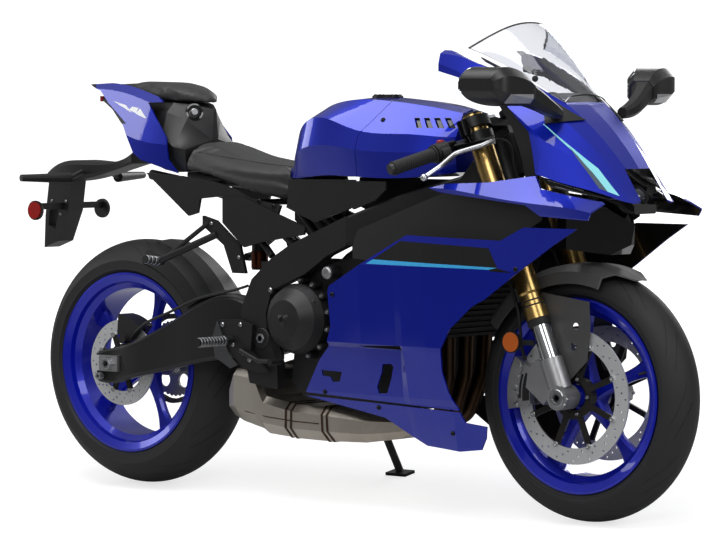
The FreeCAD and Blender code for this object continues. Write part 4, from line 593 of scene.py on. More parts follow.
wheel_blue, tree, shader = finish("blue wheel enamel", roughness=0.3, metallic=0.35, coat_weight=0.6)
speck = add(tree, "ShaderNodeTexNoise", {"Vector": measured(tree), "Scale": 0.5, "Detail": 3})
colour = add(tree, "ShaderNodeMixRGB", {"Fac": speck.outputs["Fac"], "Color1": tint("0414a8"),
                                        "Color2": tint("081fc4")})
relief = add(tree, "ShaderNodeBump", {"Height": speck.outputs["Fac"], "Distance": 0.0001})
feed(tree, shader, {"Base Color": colour.outputs["Color"], "Normal": relief.outputs["Normal"]})
dress(wheel_blue, "front_rim", "rear_rim")
for end, hub, angle in (("front", front_hub, math.radians(20)), ("rear", rear_hub_mm, math.radians(30))):
    foot = hub + spoke(angle, 202)
    bend = hub + spoke(angle, 178) + Vector((0, -16, 0))
    tip = hub + spoke(angle, 166) + Vector((0, -24, 0))
    valve = bmesh.new()
    rod(valve, foot, bend, 4.5, 3, steps=12)
    rod(valve, bend, tip, 3, steps=12)
    piece(end + "_valve", valve, rubber, end + "_wheel")

# Brake discs: ground stainless rings on dark carriers. The rings show fine turning marks, and each
# floats on bright buttons round its inner edge.


def disc_steel(name, hub, inner_radius):
    """A ground ring outside the inner radius, and a dark anodised carrier within it."""
    made, tree, shader = finish(name, metallic=0.6)
    here = add(tree, "ShaderNodeSeparateXYZ", {0: measured(tree, hub)})
    reach = from_axle(tree, here)
    ring = add(tree, "ShaderNodeMath", {0: reach, 1: inner_radius}, operation="GREATER_THAN").outputs[0]
    turns = add(tree, "ShaderNodeMath", {0: reach, 1: 1.6}, operation="MULTIPLY").outputs[0]
    marks = add(tree, "ShaderNodeTexNoise", {"W": turns, "Detail": 2}, noise_dimensions="1D").outputs["Fac"]
    bright = add(tree, "ShaderNodeMixRGB", {"Fac": marks, "Color1": tint("e0e1e2"), "Color2": tint("cbccce")})
    colour = add(tree, "ShaderNodeMixRGB", {"Fac": ring, "Color1": tint("2c2a28"),
                                            "Color2": bright.outputs["Color"]})
    dull = add(tree, "ShaderNodeMapRange", {"Value": marks, "To Min": 0.3, "To Max": 0.5})
    relief = add(tree, "ShaderNodeBump", {"Height": marks, "Distance": 0.00006})
    feed(tree, shader, {"Base Color": colour.outputs["Color"], "Roughness": dull.outputs["Result"],
                        "Normal": relief.outputs["Normal"]})
    return made


for node, hub, radius, band_width, sides, carrier, body in (
        ("front_discs", front_hub, 160, 38, (-1, 1), 68, "front_wheel"),
        ("rear_disc", rear_hub_mm, 110, 36, (-1,), 98, "rear_wheel")):
    inner_radius = radius - band_width
    dress(disc_steel(node.replace("_", " ") + " steel", hub, inner_radius), node)
    buttons, bolts = bmesh.new(), bmesh.new()
    for side in sides:
        outward = Vector((0, side, 0))
        for index in range(8):
            spot = hub + spoke(math.tau * (index + 0.5) / 8, inner_radius + 2)
            turned(buttons, [(2.2, -0.5), (6.8, -0.5), (6.8, 1), (5.6, 1.8), (3.6, 1.8), (2.2, 0.8)],
                   aim(spot + outward * (carrier + 5.3), outward), 16)
        for index in range(5):
            spot = hub + spoke(math.tau * index / 5, 43)
            screw(bolts, spot + outward * (carrier + 2.3), outward, 5, 5, 16)
    piece(node + "_buttons", buttons, plated, body)
    piece(node + "_bolts", bolts, plated, body)

# Axles and rear sprocket: turned and hardened steel, a little duller than the plated bolts, with
# patches where oil has darkened it.

turned_steel = surface("turned steel", "a3a4a6", "8c8d90", 0.7, 0.3, 0.08, 0.03, metallic=1.0)
dress(turned_steel, "front_axle", "rear_axle", "rear_sprocket")

# Front fork: gold anodised outer tubes over hard-chromed inner ones, in grey cast feet. Each has a
# dust seal, two grooves drawn as dark bands of painted shade, and an adjuster in its cap. Its pieces
# are measured from the front hub, with Z up the raked leg.

rake, fork_spread, foot_side = math.radians(22.6), 107, 133
fork = bike @ Matrix.Translation(front_hub) @ Matrix.Rotation(-rake, 4, "Y")
gold = surface("gold anodised aluminium", "c4a468", "b0925a", 0.4, 0.26, 0.05, 0.01, metallic=1.0)
chrome = surface("hard chrome", "d5d6d8", "c8c9cb", 0.3, 0.08, 0.03, 0.002, metallic=1.0)
blue_anodised = surface("blue anodised adjusters", "1c3f9a", "24489f", 0.4, 0.28, 0.05, 0.01, metallic=1.0)
dress(gold, "fork_outer_tubes")
dress(chrome, "fork_inner_tubes")
dress(grey_cast, "fork_feet")
seals, caps, adjusters, clamps = bmesh.new(), bmesh.new(), bmesh.new(), bmesh.new()
for side in (-1, 1):
    leg, outward = Matrix.Translation((0, side * fork_spread, 0)), Vector((0, side, 0))
    turned(seals, [(21.7, 178), (25, 178), (27, 182), (27, 195), (21.7, 195)], leg, 40)
    # Painted shade: the two grooves are drawn as dark raised bands, for the shade in them.
    for height in (226, 238):
        turned(seals, [(25, height), (28.3, height), (28.3, height + 3), (25, height + 3)], leg, 40)
    turned(caps, [(0, 709), (24, 709), (24, 712), (21, 715), (0, 715)], leg, 32)
    turned(adjusters, [(0, 715), (8.5, 715), (8.5, 722), (7, 723), (3, 723), (3, 720), (0, 720)], leg, 6)
    turned(clamps, [(7.5, 0), (21, 0), (21, 2), (19, 3.5), (12, 3.5), (11, 1), (7.5, 1)],
           aim(outward * foot_side, outward), 32)
    for x, z in ((14, -22), (26, -12)):
        screw(clamps, (x, side * (foot_side - 1), z), (0.5, 0, -0.86), 4.5, 4, 14)
piece("fork_seals", seals, rubber, "steering", fork)
piece("fork_caps", caps, black_steel, "steering", fork)
piece("fork_adjusters", adjusters, blue_anodised, "steering", fork)
piece("axle_clamp_rings", clamps, plated, "steering", fork)

# Calipers: the front ones are grey cast bodies in two halves, with dark pad windows over the disc
# and the bright bolts that join the halves. The rear one is painted like the engine.

dress(grey_cast, "front_calipers")
dress(engine_coat, "rear_caliper")
windows, body_bolts = bmesh.new(), bmesh.new()
caliper_side, bolt_reach = 92.3, 152
for side in (-1, 1):
    for angle in (152.5, 163, 174, 190):
        bolt = front_hub + spoke(math.radians(angle), bolt_reach)
        screw_on(body_bolts, "front_calipers", bolt.x, bolt.z, side, 6, 4, 16, out=300)
    for low, high, start, stop in ((112, 132, 157, 187), (136, 142, 160, 184)):
        before = set(windows.verts)
        section = [(low, -1), (high, -1), (high, 0.8), (low, 0.8)]
        end_face = windows.faces.new([windows.verts.new((reach, side * (caliper_side + out), 0))
                                      for reach, out in section])
        bmesh.ops.spin(windows, geom=[end_face], axis=(0, -1, 0), cent=(0, 0, 0),
                       angle=math.radians(stop - start), steps=8)
        made = [vert for vert in windows.verts if vert not in before]
        at_disc = Matrix.Translation(front_hub) @ Matrix.Rotation(-math.radians(start), 4, "Y")
        bmesh.ops.transform(windows, matrix=at_disc, verts=made)
piece("caliper_windows", windows, black_trim, "steering")
piece("caliper_bolts", body_bolts, plated, "steering")

# Reflectors and rear lamps: ribbed acrylic lenses in black cups and rims. The side ones are amber
# on black arms, and those by the plate and the lamp across the tail are red.


def lens(name, colour, pitch):
    """Tinted acrylic whose back is cut in small squares, as wide as given in mm; each square is painted
    lighter at its middle and darker at its edges, as painted highlight and shade.
    """
    made, tree, shader = finish(name, base_color=tint(colour), roughness=0.12, coat_weight=1.0)
    squares = add(tree, "ShaderNodeTexVoronoi", {"Vector": measured(tree), "Scale": 1 / pitch,
                                                 "Randomness": 0.1}, distance="CHEBYCHEV")
    # Painted highlight and shade: each square's colour is raised in its middle and lowered at its edges.
    shade = add(tree, "ShaderNodeMapRange", {"Value": squares.outputs["Distance"], "To Min": 1.15,
                                             "To Max": 0.75})
    scaled = add(tree, "ShaderNodeVectorMath", {0: tint(colour)[:3], "Scale": shade.outputs["Result"]},
                 operation="SCALE")
    relief = add(tree, "ShaderNodeBump", {"Height": squares.outputs["Distance"], "Distance": 0.0005})
    feed(tree, shader, {"Base Color": scaled.outputs["Vector"], "Normal": relief.outputs["Normal"]})
    return made


dress(lens("red ribbed acrylic", "a01812", 6), "rear_lamps")
dress(lens("amber ribbed acrylic", "d06418", 6), "front_reflectors")
arms_rear = 1309
cups, rims = bmesh.new(), bmesh.new()
for side in (-1, 1):
    turned(cups, [(0, -4), (24.5, -4), (25.5, 0), (25.5, 5), (22.3, 5), (22.3, -0.4), (0, -0.4)],
           aim((-285, side * 124, 702), (0, side, 0)), 36)
    turned(rims, [(23.2, 0), (25.6, 0), (25.6, 8), (23.2, 8)], aim((-136, side * 125, 125), (0, side, 0)), 36)
arms = cut_copy("front_reflectors", (((arms_rear, 0, 0), (-1, 0, 0)),), 0.5)
piece("reflector_cups", cups, black_trim, "chassis")
piece("side_reflector_arms", arms, black_trim, "steering")
piece("side_reflector_rims", rims, black_trim, "steering",
      bike @ Matrix.Translation(front_hub))

# Plate hanger: a moulded black arm. Three small plated screws on each side fasten the plate's holder
# to it.

holder_screws = bmesh.new()
for side in (-1, 1):
    for x, z in ((-290, 690), (-270, 724), (-322, 724)):
        screw_on(holder_screws, "plate_bracket", x, z, side, 4, 3, 14, out=300)
piece("plate_screws", holder_screws, plated, "chassis")

# Controls: forged levers with polished blades on black perches, a red stop switch and mode buttons
# on the pods, and rubber collars at the ends of the grips.

perch_height = 622
lever_finish, tree, shader = finish("polished lever on a black perch", metallic=1.0)
home = fork.inverted()
in_fork = add(tree, "ShaderNodeMapping", {"Vector": add(tree, "ShaderNodeTexCoord").outputs["Object"],
                                          "Location": home.translation, "Scale": (1000, 1000, 1000),
                                          "Rotation": home.to_3x3().normalized().to_euler("XYZ")})
height = add(tree, "ShaderNodeSeparateXYZ", {0: in_fork.outputs["Vector"]}).outputs["Z"]
perch = add(tree, "ShaderNodeMath", {0: height, 1: perch_height}, operation="GREATER_THAN").outputs[0]
marks = add(tree, "ShaderNodeTexNoise", {"Vector": in_fork.outputs["Vector"], "Scale": 0.7,
                                         "Detail": 3}).outputs["Fac"]
colour = add(tree, "ShaderNodeMixRGB", {"Fac": perch, "Color1": tint("c2c3c5"), "Color2": tint("1a1a1b")})
dull = add(tree, "ShaderNodeMapRange", {"Value": marks, "To Min": 0.16, "To Max": 0.36})
relief = add(tree, "ShaderNodeBump", {"Height": marks, "Distance": 0.00004})
feed(tree, shader, {"Base Color": colour.outputs["Color"], "Roughness": dull.outputs["Result"],
                    "Normal": relief.outputs["Normal"]})
dress(lever_finish, "levers")


def on_bar(share, side):
    """A point on a handlebar in the fork's own frame, from its clamp at 0 to its end at 1."""
    inner, outer = Vector((-6, fork_spread, 652.5)), Vector((-105, 340, 618))
    spot = inner.lerp(outer, share)
    return Vector((spot.x, side * spot.y, spot.z))


red_switch = surface("red switch plastic", "b01812", "8e120e", 0.8, 0.35, 0.05, 0.03)
red_key, dark_keys, collars = bmesh.new(), bmesh.new(), bmesh.new()
for side in (-1, 1):
    along = on_bar(1, side) - on_bar(0, side)
    turned(collars, [(16.7, 0), (21, 0), (22, 2), (21, 4), (16.7, 4)], aim(on_bar(0.497, side), along), 32)
    turned(collars, [(14.2, 0), (17.5, 0), (17.5, 3), (14.2, 3)], aim(on_bar(0.952, side), along), 32)
    for share in (0.385, 0.42, 0.455):
        spot = on_bar(share, side) + Vector((-15, 0, 12))
        turned(dark_keys, [(0, 0), (5, 0), (5, 4), (4, 5), (0, 5)], aim(spot, (-0.8, 0, 0.6)), 16)
turned(red_key, [(0, 0), (9, 0), (9, 4), (7, 6), (0, 6)],
       aim(on_bar(0.41, -1) + Vector((4, 0, 21)), (0.25, 0, 1)), 16)
piece("stop_switch", red_key, red_switch, "steering", fork)
piece("pod_buttons", dark_keys, satin_trim, "steering", fork)
piece("grip_collars", collars, rubber, "steering", fork)

# Control lines: the front brake's hose and the clutch's cable in black sleeves, which run from the
# levers' perches down behind the bottom yoke, and the short hose from the brake's fluid cup.


def hose(name, points, radius, material, body, where=bike):
    """A round hose on a smooth line through the space near its points."""
    curve = bpy.data.curves.new(name, "CURVE")
    curve.dimensions = "3D"
    curve.bevel_depth = radius / 1000
    curve.bevel_resolution = 3
    curve.resolution_u = 10
    curve.use_fill_caps = True
    line = curve.splines.new("NURBS")
    line.points.add(len(points) - 1)
    for spot, point in zip(line.points, points):
        spot.co = (*(where @ Vector(point)), 1)
    line.order_u = 3
    line.use_endpoint_u = True
    curve.materials.append(material)
    made = bpy.data.objects.new(name, curve)
    bpy.context.scene.collection.objects.link(made)
    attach(made, body)
    return made


for side, name in ((-1, "brake_line"), (1, "clutch_cable")):
    hose(name, [(66, side * 146, 622), (74, side * 120, 622), (66, side * 84, 606), (34, side * 60, 570),
                (22, side * 40, 530), (22, side * 26, 508)], 3.2, rubber, "steering", fork)
hose("fluid_hose", [(10, -172, 652), (2, -166, 636), (12, -160, 622), (40, -158, 618)], 4, rubber,
     "steering", fork)

# Top clamp: the steering stem's plated nut, the blackened key switch ahead of it and the pinch
# bolts behind both clamps.

nuts, key_switch = bmesh.new(), bmesh.new()
turned(nuts, [(6, 711), (15, 711), (15, 718), (13, 720), (6, 720)], Matrix.Translation((-28.5, 0, 0)), 6)
turned(key_switch, [(0, 700), (17, 700), (17, 713), (14, 716), (3, 716), (3, 713), (0, 713)],
       Matrix.Translation((20, 0, 0)), 32)
for side in (-1, 1):
    for bolt in ((-30, side * 98, 690), (-36, side * 96, 652)):
        screw(nuts, bolt, (-1, 0, 0), 4.5, 4, 14)
piece("yoke_nuts", nuts, plated, "steering", fork)
piece("key_switch", key_switch, black_steel, "steering", fork)

# Windscreen: injection-moulded polycarbonate, clear and glossy, with a rubber edge at the rear and
# a rubber-washered screw on each side.

clear, tree, shader = finish("clear polycarbonate", base_color=tint("dcdee4"), transmission_weight=1.0,
                             ior=1.49)
haze = add(tree, "ShaderNodeTexNoise", {"Vector": measured(tree), "Scale": 0.05, "Detail": 2})
dull = add(tree, "ShaderNodeMapRange", {"Value": haze.outputs["Fac"], "To Min": 0.0, "To Max": 0.035})
relief = add(tree, "ShaderNodeBump", {"Height": haze.outputs["Fac"], "Distance": 0.0002})
feed(tree, shader, {"Roughness": dull.outputs["Result"], "Normal": relief.outputs["Normal"]})
dress(clear, "windscreen")
rear_low, rear_high, edge_width = Vector((1163, 0, 1114)), Vector((1248, 0, 1183)), 4
along = (rear_high - rear_low).normalized()
back = Vector((-along.z, 0, along.x))
edge = cut_copy("windscreen", ((rear_low, back), (rear_low - back * edge_width, -back)), 0.5)
piece("screen_edge", edge, rubber, "chassis")
screen_washer = 1.4
screen_screws = bmesh.new()
for side in (-1, 1):
    place, facing = meet("windscreen", (1330, side * 300, 1044), (0, -side, 0))
    turned(screen_screws, [(0, -2), (7.5, -2), (7.5, screen_washer), (0, screen_washer)],
           aim(place, facing), 20)
    screw(screen_screws, place + facing * screen_washer, facing, 5, 2.6, 16)
piece("screen_screws", screen_screws, black_steel, "chassis")

# Instrument: a bonded glass face over a dark display, set in its polished case. The glass has a
# slim raised border.

display_glass = surface("display glass", "0a0c10", "0d1014", 4.0, 0.06, 0.02, 0.002, coat_weight=1.0)
low, high, half_width = Vector((1281, 0, 952)), Vector((1251.5, 0, 1000)), Vector((0, 62, 0))
out_of = Vector((low.z - high.z, 0, high.x - low.x)).normalized()
display = bmesh.new()
corners = (low - half_width, low + half_width, high + half_width, high - half_width)
sheet = display.faces.new([display.verts.new(corner + out_of * 1.2) for corner in corners])
bmesh.ops.inset_region(display, faces=[sheet], thickness=5, depth=-0.8)
bmesh.ops.solidify(display, geom=display.faces[:], thickness=1)
piece("display", display, display_glass, "chassis")

# Lamps and horn in the nose: two pale light guides in each black slit over a black lamp body, a
# round lens deep in the duct, and the horn behind it on the fork.

guide = surface("frosted light guide", "7c7e82", "66686c", 1.5, 0.25, 0.06, 0.02, coat_weight=0.8)
lens_glass = surface("projector lens", "3a4048", "2a2e34", 5.0, 0.05, 0.02, 0.001, coat_weight=1.0,
                     metallic=0.4)
guide_rows = ((Vector((1420, 0, 809)), Vector((1500, 0, 785))),
              (Vector((1436, 0, 795)), Vector((1506, 0, 776))))
for side, word in both_sides:
    out = Vector((0, side * 400, 0))
    for row, (start, stop) in enumerate(guide_rows):
        spots = [meet("headlamps", start.lerp(stop, step / 4) + out, -out, 0.4)[0] for step in range(5)]
        met = [spot for spot in spots if spot]
        hose(f"light_guide_{word}_{row}", met, 0.9, guide, "chassis")
    hose("lamp_body_" + word, [(1404, side * 118, 828), (1450, side * 100, 818), (1500, side * 80, 800),
                               (1545, side * 66, 784)], 14, black_trim, "chassis")
horn_place, horn_size = (14, 0, 604), (30, 34, 106, 1)
horn = bmesh.new()
bmesh.ops.create_cube(horn, size=1, matrix=Matrix.Translation(horn_place) @ Matrix.Diagonal(horn_size))
bmesh.ops.bevel(horn, geom=horn.edges[:], offset=5, segments=2, profile=0.5, affect="EDGES", material=-1)
piece("horn", horn, black_trim, "chassis", fork)
lens_radius, bulge = 19.5, 10
place, facing = meet("nose_duct", (1700, 0, 776), (-1, 0, 0))
lens_ring, dome = bmesh.new(), bmesh.new()
turned(lens_ring, [(20, -2), (27, -2), (27, 3), (24, 5), (20, 3)], aim(place, facing), 40)
arc = [(lens_radius * math.cos(math.radians(step)), bulge * math.sin(math.radians(step)))
       for step in range(0, 91, 15)]
turned(dome, [(0, -2), (lens_radius, -2)] + arc, aim(place, facing), 40)
piece("lens_ring", lens_ring, black_steel, "chassis")
piece("projector_lens", dome, lens_glass, "chassis")

# Mirrors: silvered glass to the rear, a turn signal of small clear cells in the lower front edge,
# and an arm bolted to the cowl through a triangular foot.


def keep_facing(shape, way, least):
    """Drop the faces that look away from a direction."""
    way = Vector(way).normalized()
    turned_away = [face for face in shape.faces if face.normal.dot(way) < least]
    bmesh.ops.delete(shape, geom=turned_away, context="FACES")


silvered = surface("silvered glass", "d2d6da", "cbd0d4", 5.0, 0.03, 0.01, 0.001, metallic=1.0)
cell_lens = lens("clear cells", "8e8f92", 9)
glass_inner, glass_border = 240, 6
glass = cut_copy("mirrors", (), 0.4)
keep_facing(glass, (-1, 0, 0), 0.55)
arm_faces = [face for face in glass.faces if abs(face.calc_center_median().y) < glass_inner]
bmesh.ops.delete(glass, geom=arm_faces, context="FACES")
border = bmesh.ops.inset_region(glass, faces=glass.faces[:], thickness=glass_border, depth=0)["faces"]
bmesh.ops.delete(glass, geom=border, context="FACES")
bmesh.ops.solidify(glass, geom=glass.faces[:], thickness=-1)
piece("mirror_glass", glass, silvered, "chassis")
foot_corners = [Vector(corner) for corner in ((1366, 0, 1000), (1452, 0, 946), (1390, 0, 938))]
foot_edges = [(start, (stop - start).cross(Vector((0, 1, 0))))
              for start, stop in zip(foot_corners, foot_corners[1:] + foot_corners[:1])]
for side, word in both_sides:
    signal = cut_copy("mirrors", (((0, side * 244, 0), (0, -side, 0)), ((0, side * 318, 0), (0, side, 0)),
                                  ((0, 0, 1008), (0, 0, 1)), ((0, 0, 988), (0, 0, -1))), 0.4)
    keep_facing(signal, (1, 0, -0.35), 0.5)
    bmesh.ops.solidify(signal, geom=signal.faces[:], thickness=-1.2)
    piece("mirror_signal_" + word, signal, cell_lens, "chassis")
    foot = cut_copy("nose_cowl", foot_edges + [((0, side * 60, 0), (0, -side, 0))], 2.5)
    keep_facing(foot, (0, side, 0.3), 0.2)
    bmesh.ops.solidify(foot, geom=foot.faces[:], thickness=-2)
    piece("mirror_foot_" + word, foot, black_trim, "chassis")

# Fuel lid: a blackened steel ring with six screws round the powder-coated lid, and the plated key
# flap on it.

lid_place, screw_circle = Vector((800, 0, 1003)), 30.5
ring, heads = bmesh.new(), bmesh.new()
turned(ring, [(26, 0), (35, 0), (35, 2), (33.5, 3), (27, 3), (26, 2)], Matrix.Translation(lid_place), 48)
for index in range(6):
    angle = math.tau * (index + 0.5) / 6
    spot = lid_place + Vector((screw_circle * math.cos(angle), screw_circle * math.sin(angle), 2.5))
    screw(heads, spot, (0, 0, 1), 2.6, 2, 12)
turned(heads, [(0, 0), (9, 0), (9, 1.5), (7, 2.5), (2, 2.5), (2, 1), (0, 1)],
       Matrix.Translation(lid_place - Vector((6, 0, 0))), 24)
piece("filler_ring", ring, black_steel, "fuel_lid")
piece("filler_screws", heads, plated, "fuel_lid")

# Tail: the seat's lock in its black cup below the pillion's pad, and the rubber strip under the
# blades' rear edge.

lock_place, lock_facing = Vector((199, -42, 960)), Vector((0.75, -0.62, 0.25)).normalized()
cup, barrel = bmesh.new(), bmesh.new()
turned(cup, [(0, -6), (24, -6), (22, 2), (18, 3), (14, -1), (0, -1)], aim(lock_place, lock_facing), 40)
turned(barrel, [(0, -1), (9, -1), (9, 4), (7.5, 5), (2, 5), (2, 3), (0, 3)], aim(lock_place, lock_facing), 32)
piece("lock_cup", cup, gloss_black, "chassis")
piece("lock_barrel", barrel, plated, "chassis")
blade_rear, blade_front, strip_depth, strip_front = Vector((-158, 0, 1030)), Vector((0, 0, 925)), 12, 930
along = (blade_front - blade_rear).normalized()
under = Vector((along.z, 0, -along.x))
for side, word in both_sides:
    strip = cut_copy("tail_cowl", ((blade_rear - under * strip_depth, -under), ((0, 0, 0), (0, -side, 0)),
                                   ((0, 0, strip_front), (0, 0, -1))), 0.6)
    piece("tail_edge_" + word, strip, black_trim, "chassis")

# Drive chain: pressed link plates over rollers, with the sprocket's ring bolts. Hardened steel with
# a film of oil. The rollers' line runs round the rear hub and the front sprocket's centre.

chain_steel = surface("oiled chain steel", "77726a", "55514b", 0.6, 0.34, 0.1, 0.03, metallic=1.0)
pitch, line_y, roller_radius, roller_half = 15.875, 100, 5, 4
plate_size, plate_corner, plate_gap = (pitch + 9, 1.6, 11.5, 1), 4, 5.4
front_centre, rear_centre = Vector((600, 0, 430)), Vector((0, 0, rear_hub_mm.z))
big, small = 111.5, 45.5  # the line's radii at the rear and the front
run = front_centre - rear_centre
slope = math.atan2(run.z, run.x)
taper = math.asin((big - small) / run.length)
straight = run.length * math.cos(taper)
front_arc, rear_arc = small * (math.pi - 2 * taper), big * (math.pi + 2 * taper)
whole = 2 * straight + front_arc + rear_arc
links = round(whole / pitch / 2) * 2


def on_chain(distance):
    """A point on the chain's line, measured from where it leaves the rear sprocket at the top."""
    top, bottom = slope + math.pi / 2 + taper, slope - math.pi / 2 - taper
    distance %= whole
    if distance < straight:
        start, stop = rear_centre + spoke(top, big), front_centre + spoke(top, small)
        return start.lerp(stop, distance / straight)
    distance -= straight
    if distance < front_arc:
        return front_centre + spoke(top - distance / small, small)
    distance -= front_arc
    if distance < straight:
        start, stop = front_centre + spoke(bottom, small), rear_centre + spoke(bottom, big)
        return start.lerp(stop, distance / straight)
    return rear_centre + spoke(bottom - (distance - straight) / big, big)


chain = bmesh.new()
for index in range(links):
    here, there = on_chain(whole * index / links), on_chain(whole * (index + 1) / links)
    middle, way = (here + there) / 2, there - here
    outer = 1.8 if index % 2 else 0
    rod(chain, here + Vector((0, line_y - roller_half, 0)), here + Vector((0, line_y + roller_half, 0)),
        roller_radius, steps=8)
    for side in (-1, 1):
        plate = bmesh.ops.create_cube(chain, size=1, matrix=Matrix.Diagonal(plate_size))["verts"]
        ends = [edge for vert in plate if vert.co.y > 0 for edge in vert.link_edges
                if edge.other_vert(vert).co.y < 0]
        rounded = bmesh.ops.bevel(chain, geom=ends, offset=plate_corner, segments=2, profile=0.5,
                                  affect="EDGES", material=-1)["verts"]
        place = Matrix.Translation(middle + Vector((0, line_y + side * (plate_gap + outer), 0)))
        tilt = Matrix.Rotation(-math.atan2(way.z, way.x), 4, "Y")
        bmesh.ops.transform(chain, matrix=place @ tilt, verts=rounded)
chain = piece("chain_links", chain, chain_steel, "chassis")
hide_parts("chain")
bolt_circle = 64
bolts = bmesh.new()
for index in range(6):
    spot = rear_hub_mm + spoke(math.tau * (index + 0.5) / 6, bolt_circle) + Vector((0, line_y + 3.5, 0))
    turned(bolts, [(0, 0), (7.5, 0), (7.5, 6), (0, 6)], aim(spot, (0, 1, 0)), 6)
piece("sprocket_bolts", bolts, plated, "rear_wheel")

# Rear axle: the bright nut on each end against the grey cast adjuster block, and the fluid hose to
# the caliper under the arm.

dress(grey_cast, "axle_blocks")
block_side = 151
axle_nuts = bmesh.new()
for side in (-1, 1):
    turned(axle_nuts, [(8, 0), (19, 0), (19, 2.5), (15, 2.5), (15, 11), (13.5, 12), (8, 12)],
           aim(rear_hub_mm + Vector((0, side * block_side, 0)), (0, side, 0)), 6)
piece("rear_axle_nuts", axle_nuts, plated, "chassis")
hose("rear_brake_hose", [(60, -120, 392), (110, -140, 424), (200, -146, 452), (300, -142, 496),
                         (400, -128, 514), (450, -120, 530)], 3.6, rubber, "chassis")

# Pedals and pegs: forged aluminium, the brake's pedal on the right and the gear lever on the left.
# The pegs wear bright grooved sleeves, and a thin heel guard stands behind each plate.

knurled = surface("knurled bright aluminium", "9c9da0", "828386", 2.2, 0.36, 0.08, 0.4, metallic=1.0)
peg_start, peg_pitch, guard_side = 196, 11, 176
guard_outline = ((396, 444), (380, 404), (388, 352), (440, 326), (466, 336), (436, 360))
pedals, sleeves, guards = bmesh.new(), bmesh.new(), bmesh.new()
for side in (-1, 1):
    pivot, elbow, toe = (Vector((474, side * 178, 372)), Vector((540, side * 186, 350)),
                         Vector((616, side * 196, 352)))
    rod(pedals, pivot, elbow, 6, 5, steps=12)
    rod(pedals, elbow, toe, 6, 5, steps=12)
    bmesh.ops.create_uvsphere(pedals, u_segments=12, v_segments=8, radius=6.4,
                              matrix=Matrix.Translation(elbow))
    rod(pedals, toe - Vector((0, side * 6, 0)), toe + Vector((0, side * 34, 0)), 8, steps=16)
    for step in range(9):
        turned(sleeves, [(11.1, 0), (12.4, 1), (12.4, 8), (11.1, 9)],
               aim((440, side * (peg_start + step * peg_pitch), 396), (0, side, 0)), 20)
    rear_peg, rear_run = Vector((196, side * 168, 585)), Vector((0, side * 56, 7))
    for step in range(4):
        turned(sleeves, [(10.1, 0), (11.3, 1), (11.3, 10), (10.1, 11)],
               aim(rear_peg + rear_run * (step / 4), rear_run), 20)
    guards.faces.new([guards.verts.new((x, side * guard_side, z)) for x, z in guard_outline])
bmesh.ops.solidify(guards, geom=guards.faces[:], thickness=2.5)
piece("pedals", pedals, black_alloy, "chassis")
piece("peg_sleeves", sleeves, knurled, "chassis")
piece("heel_guards", guards, knurled, "chassis")

# Rear shock: a painted steel coil over the damper, with a brown anodised aluminium reservoir beside
# its top.

spring_steel = surface("painted spring steel", "202022", "2c2c2e", 0.8, 0.35, 0.06, 0.03, metallic=0.4)
brown = surface("brown anodised aluminium", "6a3c2c", "58301f", 0.5, 0.28, 0.05, 0.01, metallic=1.0)
dress(spring_steel, "rear_shock")
sleeve = bmesh.new()
turned(sleeve, [(20.1, 570), (21.4, 571), (21.4, 612), (20.1, 613)], Matrix.Translation((416, -38, 0)), 32)
piece("reservoir_sleeve", sleeve, brown, "chassis")

# Radiator: a brazed aluminium core, painted black. The real fins are under 2 mm apart, so they are
# drawn 3 mm apart, as fine upright lines.

dress(ribbed("black finned core", "101010", 3, 0.8, roughness=0.55, metallic=0.3), "radiator")

# Side stand: the plated return spring that holds it up or down, hooked from its pivot to the leg.
# It is wound from steel wire, and turns with the stand.

turns, steps_a_turn, coil_radius = 13, 8, 5
hook_start, hook_run = Vector((16, 14, 6)), Vector((36, 24, -100))
stand_pivot = bike.inverted() @ joint_places["side_stand_fold"]
coil = []
for step in range(turns * steps_a_turn):
    middle = stand_pivot + hook_start + hook_run * (step / (turns * steps_a_turn))
    coil.append(middle + spoke(math.tau * step / steps_a_turn, coil_radius))
hose("stand_spring", coil, 1.3, plated, "stand")

# Seats: moulded foam under stretched vinyl. Each starts from its CAD cushion, drawn in a little,
# and swells under the cover as cloth would; the rider's is stitched along the shoulder.

vinyl = surface("seat vinyl", "2b2b2c", "232324", 1.4, 0.55, 0.05, 0.12, patch=90)


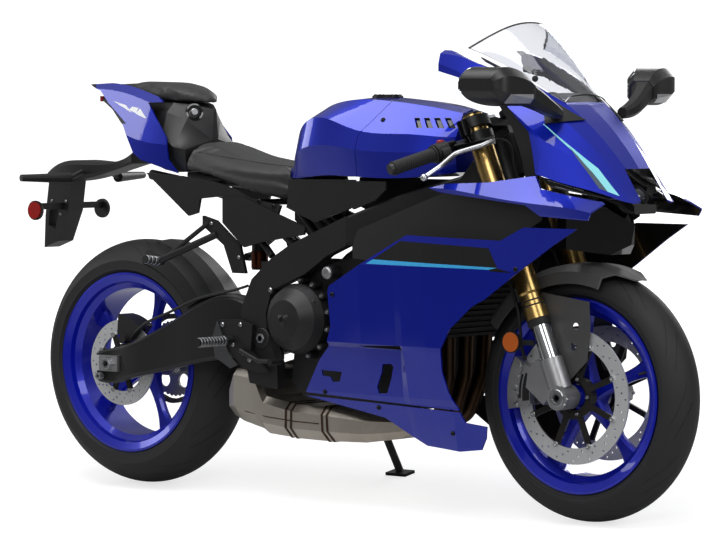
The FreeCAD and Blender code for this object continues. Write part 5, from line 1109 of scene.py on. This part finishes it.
def cushion(name, node, pin_below, drawn_in, most):
    """A padded seat whose base is held, while its cover swells by no more than a given distance in mm."""
    shape = bmesh.new()
    shape.from_mesh(cad[node].data)
    bmesh.ops.remove_doubles(shape, verts=shape.verts, dist=0.00001)
    bmesh.ops.recalc_face_normals(shape, faces=shape.faces)
    mesh = bpy.data.meshes.new(name)
    shape.to_mesh(mesh)
    shape.free()
    made = bpy.data.objects.new(name, mesh)
    bpy.context.scene.collection.objects.link(made)
    remesh = made.modifiers.new("even faces", "REMESH")
    remesh.mode = "VOXEL"
    remesh.voxel_size = 0.006
    smooth = made.modifiers.new("soft corners", "SMOOTH")
    smooth.factor = 0.5
    smooth.iterations = 6
    graph = bpy.context.evaluated_depsgraph_get()
    even = bpy.data.meshes.new_from_object(made.evaluated_get(graph))
    made.modifiers.clear()
    made.data = even
    for vert in even.vertices:
        vert.co -= vert.normal * drawn_in / 1000
    start = [vert.co.copy() for vert in even.vertices]
    held = made.vertex_groups.new(name="base")
    home = bike.inverted()
    held.add([vert.index for vert in even.vertices if (home @ vert.co).z < pin_below(home @ vert.co)], 1,
             "REPLACE")
    cloth = made.modifiers.new("cover", "CLOTH")
    cloth.settings.use_pressure = True
    cloth.settings.uniform_pressure_force = 4
    cloth.settings.effector_weights.gravity = 0
    cloth.settings.vertex_group_mass = "base"
    cloth.settings.quality = 5
    for moment in range(1, 21):
        bpy.context.scene.frame_set(moment)
    graph = bpy.context.evaluated_depsgraph_get()
    swollen = [vert.co.copy() for vert in made.evaluated_get(graph).data.vertices]
    made.modifiers.clear()
    made.vertex_groups.clear()
    bpy.context.scene.frame_set(1)
    for vert, old, new in zip(even.vertices, start, swollen):
        moved = new - old
        if moved.length > most / 1000:
            moved = moved.normalized() * most / 1000
        vert.co = old + moved
    even.materials.clear()
    even.materials.append(vinyl)
    even.shade_smooth()
    finer = made.modifiers.new("smooth cover", "SUBSURF")
    finer.levels = finer.render_levels = 1
    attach(made, "chassis")
    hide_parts(node)
    return made


cushion("rider_cushion", "rider_seat", lambda spot: 832 - (spot.x - 237) * 0.2, 2, 5)
cushion("pillion_cushion", "pillion_seat", lambda spot: 1000, 1.5, 4)
seam = ((262, 96), (330, 92), (400, 84), (470, 72), (540, 56))
for side, word in both_sides:
    spots = [meet("rider_cushion", (x, side * out, 1300), (0, 0, -1), 0.5)[0] for x, out in seam]
    hose("seat_seam_" + word, spots, 0.8, rubber, "chassis")
